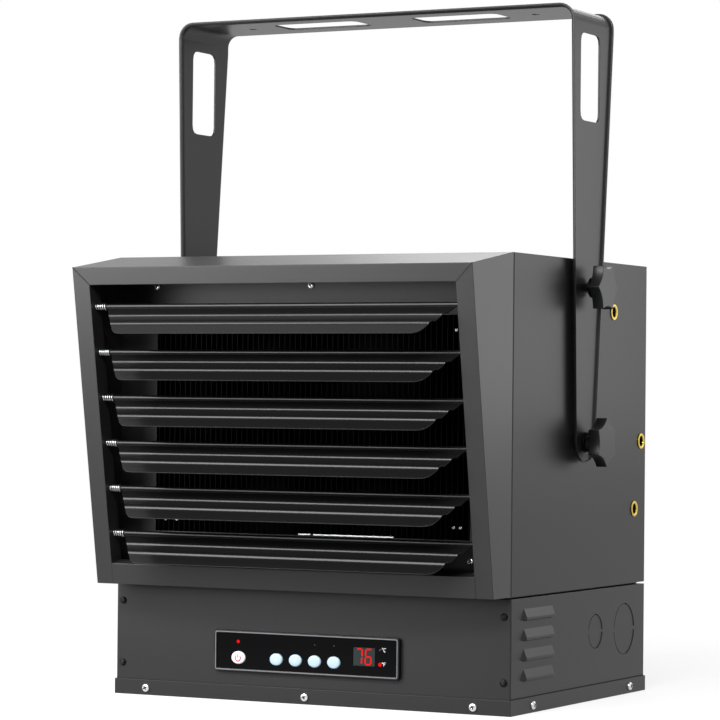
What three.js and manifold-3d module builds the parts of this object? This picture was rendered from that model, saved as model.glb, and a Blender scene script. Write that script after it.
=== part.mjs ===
// Ceiling mounted fan heater: a raked louvred outlet hood on a sheet metal cabinet that
// stands on a control box and hangs between the legs of a tapered, lipped steel bracket.
// Millimetres, +Z up, +X to the right as seen from the front, the outlet faces -Y.
// The object's origin is the middle of the bolting face on top of the bracket.
import * as THREE from 'three';
import { mergeVertices } from 'three/addons/utils/BufferGeometryUtils.js';
import { ConvexGeometry } from 'three/addons/geometries/ConvexGeometry.js';
import Module from 'manifold-3d';

const wasm = await Module();
wasm.setup();

// ---------------------------------------------------------------- driving dimensions
const SEAT = 0.3;                 // gap between pieces that rest on each other
const SHEET = 1.2;                // cabinet, hood and control box sheet

// base tray, control box and cabinet
const TRAY_HEIGHT = 12.7;
const TRAY_SHEET = 1;
const BODY_WIDTH = 367.4;         // cabinet, hood and control box
const BOX_TOP = 93;
const PLINTH_RISE = 1.8;          // shadow gap between control box and cabinet
const PLINTH_INSET = 5;

// tilt axis and lock positions
const TILT_Y = 139;               // tilt axis behind the tray's front
const TILT_RISE = 122.7;          // tilt axis above the cabinet's floor
const LOCK_RADIUS = 129;
const LOCK_ANGLES = [0, 31, 90, 117];
const LOCK_TOP_MARGIN = 23.5;     // top lock position to the cabinet's top
const LOCK_BACK_MARGIN = 10.7;    // rearmost lock position to the cabinet's back

// hood and outlet frame
const HOOD_TOP_REACH = 75.5;      // how far the top of the front frame stands forward
const HOOD_TOP_DROP = 11.6;       // fall of the hood's top sheet to its front edge
const HOOD_FOOT_REACH = 31.1;     // how far the foot of the front frame stands forward
const FRAME_SIDE = 15.3;          // width of the side bars
const FRAME_HEAD = 14.8;          // height of the top bar
const FRAME_FOOT = 17.5;          // height of the bottom bar
const FRAME_RETURN = 16;          // depth of the folded return round the opening

// bulkhead opening behind the louvres
const OUTLET_SIDE = 36.7;         // cabinet side to the opening
const OUTLET_SILL_RISE = 44.2;    // opening above the cabinet's floor
const OUTLET_HEAD_DROP = 50;      // opening below the cabinet's top

// louvres
const LOUVRE_COUNT = 6;
const LOUVRE_FIRST = 42;          // lowest pivot above the foot of the front frame
const LOUVRE_LAST = 34;           // highest pivot below the head of the front frame
const LOUVRE_SETBACK = 7.9;       // pivots behind the front plane
const LOUVRE_SHEET = 0.8;
const LOUVRE_ROD_RADIUS = 2.2;    // curl along the pivot edge
const LOUVRE_END_CLEARANCE = 0.5; // right end to the frame's return
const LOUVRE_END_TAPER = 18.5;    // how far the slanted end is cut in
const LOUVRE_CORNER = 11.5;       // run of the round corner after the slant
const PIN_RADIUS = 1.5;
const PIN_OVERHANG = 3.6;         // pin beyond the frame's return
const PIN_CLEARANCE = 0.3;

// louvre springs
const SPRING_LENGTH = 10.2;
const SPRING_RADIUS = 2.5;        // centre line of the wire
const SPRING_WIRE = 0.9;
const SPRING_TURNS = 4;
const SPRING_STEPS = 8;           // per turn
const SPRING_SIDES = 5;

// bracket
const BRACKET_GAP = 2.6;          // leg to cabinet side
const BRACKET_SHEET = 1.5;
const BRACKET_LIP = 3.5;          // outer radius of the quarter round lips along its edges
const BRACKET_BEND = 10;          // inner bend radius
const BRACKET_HEADROOM = 207.9;   // cabinet's top to the bracket's underside
const BRACKET_FRONT_TOP = 36.4;   // front edge ahead of the tilt axis, at the top
const BRACKET_FRONT_FOOT = 23.8;
const BRACKET_BACK_TOP = 47.1;    // back edge behind the tilt axis, at the top
const BRACKET_BACK_FOOT = 16.6;
const BRACKET_TAPER_TOP = 15.9;   // taper starts this far below the underside
const BRACKET_TAPER_FOOT = 4.5;   // taper ends this far above the tilt axis
const BRACKET_FOOT = 17.5;        // leg below the tilt axis
const BRACKET_FOOT_RADIUS = 18;
const SLOT_SETBACK = 2.5;         // slots behind the tilt axis
const SLOT_CORNER = 8;
const LEG_SLOT_WIDTH = 39.5;
const LEG_SLOT_HEIGHT = 73.3;
const LEG_SLOT_DROP = 18.9;       // slot below the underside
const TOP_SLOT_LENGTH = 82;
const TOP_SLOT_WIDTH = 37;
const TOP_SLOT_X = 67;
const TOP_HOLE_RADIUS = 3.5;
const TOP_HOLE_X = 137;

// threaded inserts
const INSERT_FLANGE = 0.8;
const INSERT_FLANGE_RADIUS = 6.75;
const INSERT_BARREL_RADIUS = 5.3;
const INSERT_LENGTH = 13;
const THREAD_RADIUS = 4;
const THREAD_CLEARANCE = 0.3;

// star knobs
const STAR_TIP_RADIUS = 21;
const STAR_ROOT_RADIUS = 14.5;
const STAR_LOBES = 6;
const STAR_THICKNESS = 12;
const STAR_STAND = 19.2;          // outer face beyond the bracket's leg
const LOCK_HUB_LENGTH = 1.6;
const HUB_RADIUS = 9;
const WASHER_RADIUS = 8.5;
const WASHER_THICKNESS = 1.5;
const PIVOT_GRIP = 8;             // bolt inside the pivot insert

// control panel
const PANEL_HALF_WIDTH = 86.5;
const PANEL_BOTTOM = 24;
const PANEL_TOP = 58.6;
const PANEL_RIM = 2.2;
const PANEL_PROUD = 4;
const PANEL_RECESS = 1.2;
const PANEL_CORNER = 5;
const BUTTON_TRAVEL = 0.8;
const BUTTON_PROUD = 1.4;
const BUTTON_RISE = 11.8;         // button centres above the panel's foot
const BUTTON_WIDTH = 12;
const BUTTON_HEIGHT = 10;
const BUTTON_FIRST = 59;          // first of the row from the panel's left end
const BUTTON_PITCH = 17.93;
const BUTTON_ROW = ['button_warmer', 'button_cooler', 'button_timer', 'button_mode'];
const POWER_INSET = 23.1;         // power button from the panel's left end
const POWER_WIDTH = 13.2;
const POWER_HEIGHT = 10.6;
const DISPLAY_INSET = 22.4;       // display from the panel's right end
const DISPLAY_WIDTH = 20.3;
const DISPLAY_RISE = 10;          // display above the panel's foot
const DISPLAY_HEIGHT = 15.5;
const WINDOW_MARGIN = 6;          // panel overlap on the cut-out behind it
const BOARD_THICKNESS = 1.6;

// side vents and knockouts of the control box
const VENT_COUNT = 4;
const VENT_LOWEST = 26.8;
const VENT_TOP_MARGIN = 8.6;      // highest vent below the box's top
const VENT_FRONT = 20;
const VENT_LENGTH = 69;
const VENT_HEIGHT = 9;
const VENT_PROUD = 2.8;
const VENT_SHEET = 0.9;
const KNOCKOUT_SMALL = { fromBack: 106.7, z: 57.5, radius: 14.3 };
const KNOCKOUT_LARGE = { fromBack: 44.7, z: 56, radius: 21.8 };
const KNOCKOUT_SCORE = 0.7;

// fittings inside the control box
const TERMINAL = { width: 72, depth: 26, height: 24, fromSide: 33.7, fromBack: 88.7, bays: 3, wall: 4 };
const CONTACTOR = { width: 70, depth: 65, height: 34, fromSide: 63.7, fromBack: 128.7, coil: 26, step: 8 };

// heating bank
const FIN_PITCH = 5;
const FIN_SHEET = 0.6;
const FIN_DEPTH = 40;
const FIN_FRAME = 4;
const FIN_OVERLAP = 8;            // bank behind the bulkhead's edge
const ROD_RADIUS = 4;
const ROD_COUNT = 3;
const ROD_BEND = 15;

// thermal cut-out beside the bank
const LIMIT_RADIUS = 8;
const LIMIT_HEIGHT = 9;
const LIMIT_DROP = 20;            // below the outlet's head

// fan
const FAN_MARGIN = 25.6;          // blade tips to the cabinet's floor and top
const FAN_BLADES = 5;
const FAN_TIP_GAP = 5;
const BLADE_ROOT_CHORD = 36;
const BLADE_TIP_CHORD = 66;
const BLADE_PITCH = 20;           // degrees
const BLADE_CAMBER = 3;
const BLADE_SHEET = 1.6;
const FAN_HUB_RADIUS = 32;
const FAN_HUB_GAP = 6;            // hub to motor
const FAN_HUB_LENGTH = 28;
const SHROUD_SHEET = 2;
const SHROUD_LEAD = 6;            // shroud ahead of the hub
const REAR_RECESS = 1.5;           // rear panel behind the cabinet's back edge
const STRAP_WIDTH = 24;
const STRAP_SHEET = 2.4;
const MOTOR_RADIUS = 42;
const MOTOR_LENGTH = 44;
const SHAFT_RADIUS = 4;
const GUARD_WIRE = 1.5;
const GUARD_RINGS = 4;

// ---------------------------------------------------------------- derived places
const HALF = BODY_WIDTH / 2;
const BODY_FRONT = TRAY_SHEET + SEAT;
const BODY_BACK = TILT_Y + LOCK_RADIUS + LOCK_BACK_MARGIN;
const TRAY_WIDTH = BODY_WIDTH + 2 * (TRAY_SHEET + SEAT);
const TRAY_DEPTH = BODY_BACK + TRAY_SHEET + SEAT;
const CABINET_BOTTOM = BOX_TOP + PLINTH_RISE;
const TILT_Z = CABINET_BOTTOM + TILT_RISE;
const BODY_TOP = TILT_Z + LOCK_RADIUS + LOCK_TOP_MARGIN;
const BRACKET_UNDERSIDE = BODY_TOP + BRACKET_HEADROOM;
const SLOT_Y = TILT_Y + SLOT_SETBACK;
const CEILING_Z = BRACKET_UNDERSIDE + BRACKET_SHEET;
const BRACKET_INNER = HALF + BRACKET_GAP;
const LEG_OUTER = BRACKET_INNER + BRACKET_SHEET;
const STAR_FACE = LEG_OUTER + STAR_STAND;
const OUTLET_HALF_WIDTH = HALF - OUTLET_SIDE;
const OUTLET_SILL = CABINET_BOTTOM + OUTLET_SILL_RISE;
const OUTLET_HEAD = BODY_TOP - OUTLET_HEAD_DROP;
const FAN_Z = (CABINET_BOTTOM + BODY_TOP) / 2;
const FAN_RADIUS = (BODY_TOP - CABINET_BOTTOM) / 2 - FAN_MARGIN;
const VENT_PITCH = (BOX_TOP - VENT_TOP_MARGIN - VENT_HEIGHT - VENT_LOWEST) / (VENT_COUNT - 1);
const BUTTON_Z = PANEL_BOTTOM + BUTTON_RISE;
const BUTTONS = [
  { name: 'button_power', x: -PANEL_HALF_WIDTH + POWER_INSET, width: POWER_WIDTH, height: POWER_HEIGHT },
  ...BUTTON_ROW.map((name, i) => ({
    name, x: -PANEL_HALF_WIDTH + BUTTON_FIRST + i * BUTTON_PITCH, width: BUTTON_WIDTH, height: BUTTON_HEIGHT,
  })),
];
const DISPLAY_RIGHT = PANEL_HALF_WIDTH - DISPLAY_INSET;
const DISPLAY_LEFT = DISPLAY_RIGHT - DISPLAY_WIDTH;
const DISPLAY_BOTTOM = PANEL_BOTTOM + DISPLAY_RISE;
const DISPLAY_TOP = DISPLAY_BOTTOM + DISPLAY_HEIGHT;
const FRONT_RISE = BODY_TOP - HOOD_TOP_DROP - CABINET_BOTTOM;
const RAKE = Math.atan2(HOOD_TOP_REACH - HOOD_FOOT_REACH, FRONT_RISE);
const FRONT_LENGTH = Math.hypot(HOOD_TOP_REACH - HOOD_FOOT_REACH, FRONT_RISE);
const LOUVRE_PITCH = (FRONT_LENGTH - LOUVRE_FIRST - LOUVRE_LAST) / (LOUVRE_COUNT - 1);
const OPENING_HALF = HALF - FRAME_SIDE;
const REAR_PANEL_BACK = BODY_BACK - REAR_RECESS;
const REAR_PANEL_FRONT = REAR_PANEL_BACK - SHEET;
const SHROUD_RADIUS = FAN_RADIUS + FAN_TIP_GAP;
const STRAP_FRONT = REAR_PANEL_FRONT - SEAT - STRAP_SHEET;
const MOTOR_FRONT = STRAP_FRONT - SEAT - MOTOR_LENGTH;
const FAN_HUB_FRONT = MOTOR_FRONT - FAN_HUB_GAP - FAN_HUB_LENGTH;
const SHROUD_FRONT = FAN_HUB_FRONT - SHROUD_LEAD;
const PANEL_FRONT = BODY_FRONT - PANEL_PROUD;
const PANEL_FACE = PANEL_FRONT + PANEL_RECESS;
const BANK_FRONT = BODY_FRONT + SHEET + SEAT;
const BOX_FLOOR = TRAY_SHEET + SEAT;

// ---------------------------------------------------------------- materials
const finish = (color, roughness, metalness) => ({ color, roughness, metalness });
const BLACK_COAT = finish(0x2b2c2d, 0.45, 0.5);
const DARK_COAT = finish(0x1d1e1f, 0.5, 0.5);
const BLACK_PLASTIC = finish(0x17181a, 0.5, 0);
const GLOSS_PLASTIC = finish(0x0a0b0d, 0.12, 0);
const PALE_PLASTIC = finish(0xc9d6e3, 0.4, 0);
const WHITE_PLASTIC = finish(0xece8e8, 0.4, 0);
const RIM_PLASTIC = finish(0x8d9094, 0.4, 0.2);
const BRASS = finish(0xc9a23a, 0.35, 0.9);
const STEEL = finish(0xb4b6b8, 0.3, 0.9);
const ALUMINIUM = finish(0x8a8d90, 0.4, 0.8);
const BOARD_GREEN = finish(0x1c5a33, 0.6, 0);
const SMOKED = finish(0x3a0a0c, 0.1, 0);

// ---------------------------------------------------------------- solids
const X = new THREE.Vector3(1, 0, 0);
const Y = new THREE.Vector3(0, 1, 0);
const Z = new THREE.Vector3(0, 0, 1);

/** A manifold solid from a closed geometry. */
function solid(geometry) {
  const bare = geometry.clone();
  bare.deleteAttribute('normal');
  bare.deleteAttribute('uv');
  const merged = mergeVertices(bare, 1e-4);
  return new wasm.Manifold(new wasm.Mesh({
    numProp: 3,
    vertProperties: new Float32Array(merged.attributes.position.array),
    triVerts: new Uint32Array(merged.index.array),
  }));
}

/** A geometry from a manifold solid. */
function geometryOf(manifold) {
  const mesh = manifold.getMesh();
  const geometry = new THREE.BufferGeometry();
  geometry.setAttribute('position', new THREE.BufferAttribute(new Float32Array(mesh.vertProperties), 3));
  geometry.setIndex(new THREE.BufferAttribute(new Uint32Array(mesh.triVerts), 1));
  geometry.computeVertexNormals();
  return geometry;
}

const join = (first, ...rest) => rest.reduce((sum, next) => sum.add(next), first);
const cut = (first, ...rest) => rest.reduce((left, next) => left.subtract(next), first);

/** A box between two corners. */
function block(x0, x1, y0, y1, z0, z1) {
  const geometry = new THREE.BoxGeometry(x1 - x0, y1 - y0, z1 - z0);
  geometry.translate((x0 + x1) / 2, (y0 + y1) / 2, (z0 + z1) / 2);
  return solid(geometry);
}

/** A shape extruded from one depth to another, its own axes laid on `across`, `up` and their cross product. */
function prism(shape, across, up, from, to, curveSegments = 6) {
  const options = { depth: to - from, bevelEnabled: false, curveSegments };
  const geometry = new THREE.ExtrudeGeometry(shape, options);
  geometry.translate(0, 0, from);
  const normal = new THREE.Vector3().crossVectors(across, up);
  geometry.applyMatrix4(new THREE.Matrix4().makeBasis(across, up, normal));
  return solid(geometry);
}

const alongX = (shape, x0, x1, segments) => prism(shape, Y, Z, x0, x1, segments);
const alongY = (shape, y0, y1, segments) => prism(shape, X, Z, -y1, -y0, segments);
const alongZ = (shape, z0, z1, segments) => prism(shape, X, Y, z0, z1, segments);

/** A round bar from one point to another. */
function bar(from, to, radius, sides = 16) {
  const length = from.distanceTo(to);
  const geometry = new THREE.CylinderGeometry(radius, radius, length, sides);
  const turn = new THREE.Quaternion().setFromUnitVectors(Y, to.clone().sub(from).normalize());
  geometry.applyQuaternion(turn);
  const middle = from.clone().add(to).multiplyScalar(0.5);
  geometry.translate(middle.x, middle.y, middle.z);
  return solid(geometry);
}

const barX = (x0, x1, y, z, radius, sides) =>
  bar(new THREE.Vector3(x0, y, z), new THREE.Vector3(x1, y, z), radius, sides);
const barY = (y0, y1, x, z, radius, sides) =>
  bar(new THREE.Vector3(x, y0, z), new THREE.Vector3(x, y1, z), radius, sides);

function polygon(points) {
  return new THREE.Shape(points.map(([a, b]) => new THREE.Vector2(a, b)));
}

function roundedRectangle(a0, a1, b0, b1, r) {
  const shape = new THREE.Shape();
  shape.moveTo(a0 + r, b0);
  shape.lineTo(a1 - r, b0);
  shape.quadraticCurveTo(a1, b0, a1, b0 + r);
  shape.lineTo(a1, b1 - r);
  shape.quadraticCurveTo(a1, b1, a1 - r, b1);
  shape.lineTo(a0 + r, b1);
  shape.quadraticCurveTo(a0, b1, a0, b1 - r);
  shape.lineTo(a0, b0 + r);
  shape.quadraticCurveTo(a0, b0, a0 + r, b0);
  return shape;
}

function ellipse(a, b, width, height) {
  const shape = new THREE.Shape();
  shape.absellipse(a, b, width / 2, height / 2, 0, Math.PI * 2);
  return shape;
}

/** A closed skin over rings of equally many points, with flat ends or run round as a `closed` loop. */
function loft(rings, closed = false) {
  const count = rings[0].length;
  const points = rings.flat();
  const faces = [];
  const spans = closed ? rings.length : rings.length - 1;
  for (let ring = 0; ring < spans; ring += 1) {
    const ahead = ((ring + 1) % rings.length) * count;
    for (let side = 0; side < count; side += 1) {
      const next = (side + 1) % count;
      const a = ring * count + side;
      const b = ring * count + next;
      faces.push([a, b, ahead + next], [a, ahead + next, ahead + side]);
    }
  }
  const last = (rings.length - 1) * count;
  for (let side = 1; !closed && side + 1 < count; side += 1) {
    faces.push([0, side + 1, side], [last, last + side, last + side + 1]);
  }
  const volume = faces.reduce((sum, [a, b, c]) =>
    sum + points[a].dot(new THREE.Vector3().crossVectors(points[b], points[c])), 0);
  const outward = volume > 0 ? faces : faces.map(([a, b, c]) => [a, c, b]);
  const geometry = new THREE.BufferGeometry();
  geometry.setAttribute('position', new THREE.Float32BufferAttribute(points.flatMap((p) => p.toArray()), 3));
  geometry.setIndex(outward.flat());
  geometry.computeVertexNormals();
  return geometry;
}

/** Rings of a round tube along a list of points, carried without twist. */
function tubeRings(path, radius, sides) {
  const tangents = path.map((point, i) => {
    const before = path[Math.max(i - 1, 0)];
    const after = path[Math.min(i + 1, path.length - 1)];
    return after.clone().sub(before).normalize();
  });
  let normal = new THREE.Vector3().crossVectors(tangents[0], Z);
  if (normal.length() < 0.1) {
    normal = new THREE.Vector3().crossVectors(tangents[0], Y);
  }
  normal.normalize();
  return path.map((point, i) => {
    normal = normal.clone().addScaledVector(tangents[i], -normal.dot(tangents[i])).normalize();
    const binormal = new THREE.Vector3().crossVectors(tangents[i], normal);
    return Array.from({ length: sides }, (_, side) => {
      const angle = (side / sides) * Math.PI * 2;
      return point.clone()
        .addScaledVector(normal, radius * Math.cos(angle))
        .addScaledVector(binormal, radius * Math.sin(angle));
    });
  });
}

// ---------------------------------------------------------------- the assembly
const group = new THREE.Group();
const heater = new THREE.Group();
heater.position.set(0, -SLOT_Y, -CEILING_Z);
group.add(heater);

function add(name, shape, { color, roughness, metalness }, place = [0, 0, 0]) {
  const geometry = shape.isBufferGeometry ? shape : geometryOf(shape);
  const material = new THREE.MeshStandardMaterial({ color, roughness, metalness });
  const mesh = new THREE.Mesh(geometry, material);
  mesh.name = name;
  mesh.position.set(...place);
  heater.add(mesh);
  return mesh;
}

// ---------------------------------------------------------------- bracket
const LEG_FOOT = TILT_Z - BRACKET_FOOT;
const LEG_TOP = BRACKET_UNDERSIDE - BRACKET_BEND;
const BEND_STEPS = 6;
const BEND_LENGTH = (BRACKET_BEND * Math.PI) / 2;
const ARCH_HALF = LEG_TOP + BEND_LENGTH + BRACKET_INNER - BRACKET_BEND;

/** Front view of the bracket: an upside down U of one thickness. */
function bracketArch(thickness) {
  const inner = BRACKET_INNER;
  const outer = inner + thickness;
  const top = BRACKET_UNDERSIDE + thickness;
  const bendOut = BRACKET_BEND + thickness;
  const foot = LEG_FOOT - 1;
  const shape = new THREE.Shape();
  shape.moveTo(-outer, foot);
  shape.lineTo(-outer, top - bendOut);
  shape.absarc(-outer + bendOut, top - bendOut, bendOut, Math.PI, Math.PI / 2, true);
  shape.absarc(outer - bendOut, top - bendOut, bendOut, Math.PI / 2, 0, true);
  shape.lineTo(outer, foot);
  shape.lineTo(inner, foot);
  shape.absarc(inner - BRACKET_BEND, BRACKET_UNDERSIDE - BRACKET_BEND, BRACKET_BEND, 0, Math.PI / 2, false);
  shape.absarc(-inner + BRACKET_BEND, BRACKET_UNDERSIDE - BRACKET_BEND, BRACKET_BEND,
    Math.PI / 2, Math.PI, false);
  shape.lineTo(-inner, foot);
  shape.closePath();
  return shape;
}

/** Half the bracket's outline by height, [y, z] from the foot up, on its front (-1) or back (1) edge. */
function taperEdge(side) {
  const round = BRACKET_FOOT_RADIUS;
  const footY = TILT_Y + side * (side < 0 ? BRACKET_FRONT_FOOT : BRACKET_BACK_FOOT);
  const topY = TILT_Y + side * (side < 0 ? BRACKET_FRONT_TOP : BRACKET_BACK_TOP);
  const corner = Array.from({ length: 5 }, (_, i) => {
    const angle = (i / 4) * (Math.PI / 2);
    return [footY - side * round * (1 - Math.sin(angle)), LEG_FOOT + round * (1 - Math.cos(angle))];
  });
  return [...corner, [footY, TILT_Z + BRACKET_TAPER_FOOT], [topY, BRACKET_UNDERSIDE - BRACKET_TAPER_TOP]];
}

/** Side view of the bracket's flat web: legs taper to a round foot, inside the lips on every edge but the top. */
function webOutline() {
  const above = CEILING_Z + BRACKET_LIP + 10;
  const front = taperEdge(-1);
  const back = taperEdge(1);
  const shrink = BRACKET_LIP / BRACKET_FOOT_RADIUS;
  const inset = (points, side) => points.map(([y, z], i) => {
    const centreY = points[4][0] - side * BRACKET_FOOT_RADIUS;
    const centreZ = LEG_FOOT + BRACKET_FOOT_RADIUS;
    return i < 5 ? [y - (y - centreY) * shrink, z - (z - centreZ) * shrink] : [y - side * BRACKET_LIP, z];
  });
  const frontIn = inset(front, -1);
  const backIn = inset(back, 1);
  const backTop = backIn[backIn.length - 1][0];
  const frontTop = frontIn[frontIn.length - 1][0];
  return polygon([...backIn, [backTop, above], [frontTop, above], ...frontIn.slice().reverse()]);
}

/** A point `out` beyond the web's inner face, `along` the arch from the right foot's level and at depth `y`. */
function onArch(along, y, out) {
  const mirrored = along > ARCH_HALF;
  const s = mirrored ? 2 * ARCH_HALF - along : along;
  const side = mirrored ? -1 : 1;
  if (s <= LEG_TOP) {
    return new THREE.Vector3(side * (BRACKET_INNER + out), y, s);
  }
  const angle = Math.min((s - LEG_TOP) / BRACKET_BEND, Math.PI / 2);
  const radius = BRACKET_BEND + out;
  const over = Math.max(s - LEG_TOP - BEND_LENGTH, 0);
  return new THREE.Vector3(
    side * (BRACKET_INNER - BRACKET_BEND + radius * Math.cos(angle) - over), y, LEG_TOP + radius * Math.sin(angle));
}

/** Edge of the bracket laid flat, as [along, y]: up the front of the right leg, over, and back along the rear. */
function edgeLoop() {
  const bend = Array.from({ length: BEND_STEPS + 1 }, (_, i) => LEG_TOP + (i / BEND_STEPS) * BEND_LENGTH);
  const half = (side) => {
    const edge = taperEdge(side).map(([y, z]) => [z, y]);
    const topY = edge[edge.length - 1][1];
    return [...edge, ...bend.map((along) => [along, topY])];
  };
  const over = (points) => points.map(([along, y]) => [2 * ARCH_HALF - along, y]).reverse();
  const front = half(-1);
  const back = half(1);
  return [...front, ...over(front), ...over(back).slice().reverse(), ...back.slice().reverse()];
}

/** Quarter round lip that rolls outward along the whole edge of the bracket. */
function bracketLip() {
  const loop = edgeLoop();
  const outer = BRACKET_LIP;
  const inner = BRACKET_LIP - BRACKET_SHEET;
  const overlap = 0.8;
  const quarter = [0, 1, 2, 3, 4].map((i) => (i / 4) * (Math.PI / 2));
  const profile = [
    [outer + overlap, 0],
    ...quarter.map((a) => [outer - outer * Math.sin(a), outer - outer * Math.cos(a)]),
    ...quarter.slice().reverse().map((a) => [outer - inner * Math.sin(a), outer - inner * Math.cos(a)]),
    [outer + overlap, BRACKET_SHEET],
  ];
  const count = loop.length;
  const rings = loop.map(([along, y], i) => {
    const before = loop[(i + count - 1) % count];
    const after = loop[(i + 1) % count];
    const first = new THREE.Vector2(along - before[0], y - before[1]).normalize();
    const second = new THREE.Vector2(after[0] - along, after[1] - y).normalize();
    const inward = new THREE.Vector2(-first.y - second.y, first.x + second.x).normalize();
    const stretch = 1 / inward.dot(new THREE.Vector2(-second.y, second.x));
    return profile.map(([edge, out]) =>
      onArch(along + inward.x * edge * stretch, y + inward.y * edge * stretch, out));
  });
  return solid(loft(rings, true));
}

function bracket() {
  const wide = BRACKET_INNER + BRACKET_LIP + 5;
  const web = alongY(bracketArch(BRACKET_SHEET), 0, BODY_BACK, BEND_STEPS / 2);
  const body = join(web.intersect(alongX(webOutline(), -wide, wide)), bracketLip());
  const slotTop = BRACKET_UNDERSIDE - LEG_SLOT_DROP;
  const legSlot = alongX(roundedRectangle(
    SLOT_Y - LEG_SLOT_WIDTH / 2, SLOT_Y + LEG_SLOT_WIDTH / 2,
    slotTop - LEG_SLOT_HEIGHT, slotTop, SLOT_CORNER), -wide, wide, 3);
  const topSlots = [-1, 1].map((side) => alongZ(roundedRectangle(
    side * TOP_SLOT_X - TOP_SLOT_LENGTH / 2, side * TOP_SLOT_X + TOP_SLOT_LENGTH / 2,
    SLOT_Y - TOP_SLOT_WIDTH / 2, SLOT_Y + TOP_SLOT_WIDTH / 2, SLOT_CORNER),
  BRACKET_UNDERSIDE - 5, CEILING_Z + 5, 3));
  const topHoles = [-1, 1].map((side) => bar(
    new THREE.Vector3(side * TOP_HOLE_X, SLOT_Y, BRACKET_UNDERSIDE - 5),
    new THREE.Vector3(side * TOP_HOLE_X, SLOT_Y, CEILING_Z + 5), TOP_HOLE_RADIUS, 12));
  const boltHoles = [0, LOCK_RADIUS].map((rise) =>
    barX(-wide, wide, TILT_Y, TILT_Z + rise, THREAD_RADIUS + THREAD_CLEARANCE, 16));
  return cut(body, legSlot, ...topSlots, ...topHoles, ...boltHoles);
}

// ---------------------------------------------------------------- cabinet
/** Places of the threaded inserts on a cabinet side: the pivot and every lock position. */
function insertPlaces() {
  const locks = LOCK_ANGLES.map((degrees) => {
    const angle = THREE.MathUtils.degToRad(degrees);
    return [TILT_Y + LOCK_RADIUS * Math.sin(angle), TILT_Z + LOCK_RADIUS * Math.cos(angle)];
  });
  return [[TILT_Y, TILT_Z], ...locks];
}

function cabinetShell() {
  const inner = HALF - SHEET;
  const outer = block(-HALF, HALF, BODY_FRONT, BODY_BACK, CABINET_BOTTOM, BODY_TOP);
  const plinth = block(-HALF + PLINTH_INSET, HALF - PLINTH_INSET, BODY_FRONT + PLINTH_INSET,
    BODY_BACK - PLINTH_INSET, BOX_TOP + SEAT, CABINET_BOTTOM + SHEET);
  const cavity = block(-inner, inner, BODY_FRONT + SHEET, BODY_BACK + 1,
    CABINET_BOTTOM + SHEET, BODY_TOP - SHEET);
  const outlet = block(-OUTLET_HALF_WIDTH, OUTLET_HALF_WIDTH, BODY_FRONT - 1,
    BODY_FRONT + SHEET + 1, OUTLET_SILL, OUTLET_HEAD);
  const holes = insertPlaces().map(([y, z]) =>
    barX(-HALF - 1, HALF + 1, y, z, INSERT_BARREL_RADIUS + SEAT, 12));
  return cut(join(outer, plinth), cavity, outlet, ...holes);
}

function insert(side) {
  const flange = barX(0, INSERT_FLANGE, 0, 0, INSERT_FLANGE_RADIUS, 16);
  const barrel = barX(-INSERT_LENGTH, 0.2, 0, 0, INSERT_BARREL_RADIUS, 12);
  const bore = barX(-INSERT_LENGTH - 1, INSERT_FLANGE + 1, 0, 0, THREAD_RADIUS, 12);
  const body = cut(join(flange, barrel), bore);
  return side > 0 ? body : body.mirror([1, 0, 0]);
}

function rearPanel() {
  const inner = HALF - SHEET - SEAT;
  const plate = block(-inner, inner, REAR_PANEL_FRONT, REAR_PANEL_BACK,
    CABINET_BOTTOM + SHEET + SEAT, BODY_TOP - SHEET - SEAT);
  const intake = barY(REAR_PANEL_FRONT - 1, REAR_PANEL_BACK + 1, 0, FAN_Z, SHROUD_RADIUS, 40);
  return plate.subtract(intake);
}

/** Wire guard over the intake: rings on crossed spokes that rest on the rear panel. */
function fanGuard() {
  const spokeY = REAR_PANEL_BACK + SEAT + GUARD_WIRE;
  const ringY = spokeY + GUARD_WIRE;
  const step = (SHROUD_RADIUS - 4) / GUARD_RINGS;
  const rings = Array.from({ length: GUARD_RINGS }, (_, i) => {
    const torus = new THREE.TorusGeometry(step * (i + 1), GUARD_WIRE, 5, 14 + 4 * i);
    torus.rotateX(Math.PI / 2);
    torus.translate(0, ringY, FAN_Z);
    return solid(torus);
  });
  const reach = SHROUD_RADIUS + 9;
  const spokes = [45, 135].map((degrees) => {
    const angle = THREE.MathUtils.degToRad(degrees);
    const tip = new THREE.Vector3(reach * Math.cos(angle), 0, reach * Math.sin(angle));
    const middle = new THREE.Vector3(0, spokeY, FAN_Z);
    return bar(middle.clone().sub(tip), middle.clone().add(tip), GUARD_WIRE, 6);
  });
  const centre = barY(spokeY - GUARD_WIRE, ringY + 0.4, 0, FAN_Z, step * 0.6, 16);
  return join(centre, ...rings, ...spokes);
}

// ---------------------------------------------------------------- hood
const FRONT_UP = new THREE.Vector3(0, -Math.sin(RAKE), Math.cos(RAKE));
const FRONT_OUT = new THREE.Vector3(0, -Math.cos(RAKE), -Math.sin(RAKE));
const FRONT_FOOT = new THREE.Vector3(0, -HOOD_FOOT_REACH, CABINET_BOTTOM);

/** A prism on the raked front: its shape lies in the front plane, its depth runs outward. */
function onFront(shape, from, to, segments) {
  return prism(shape, X, FRONT_UP, from, to, segments).translate(FRONT_FOOT.toArray());
}

/** Centre of a louvre's pivot in the heater's frame, counted from the lowest. */
function louvrePivot(index) {
  return FRONT_FOOT.clone()
    .addScaledVector(FRONT_UP, LOUVRE_FIRST + index * LOUVRE_PITCH)
    .addScaledVector(FRONT_OUT, -LOUVRE_SETBACK);
}

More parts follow.
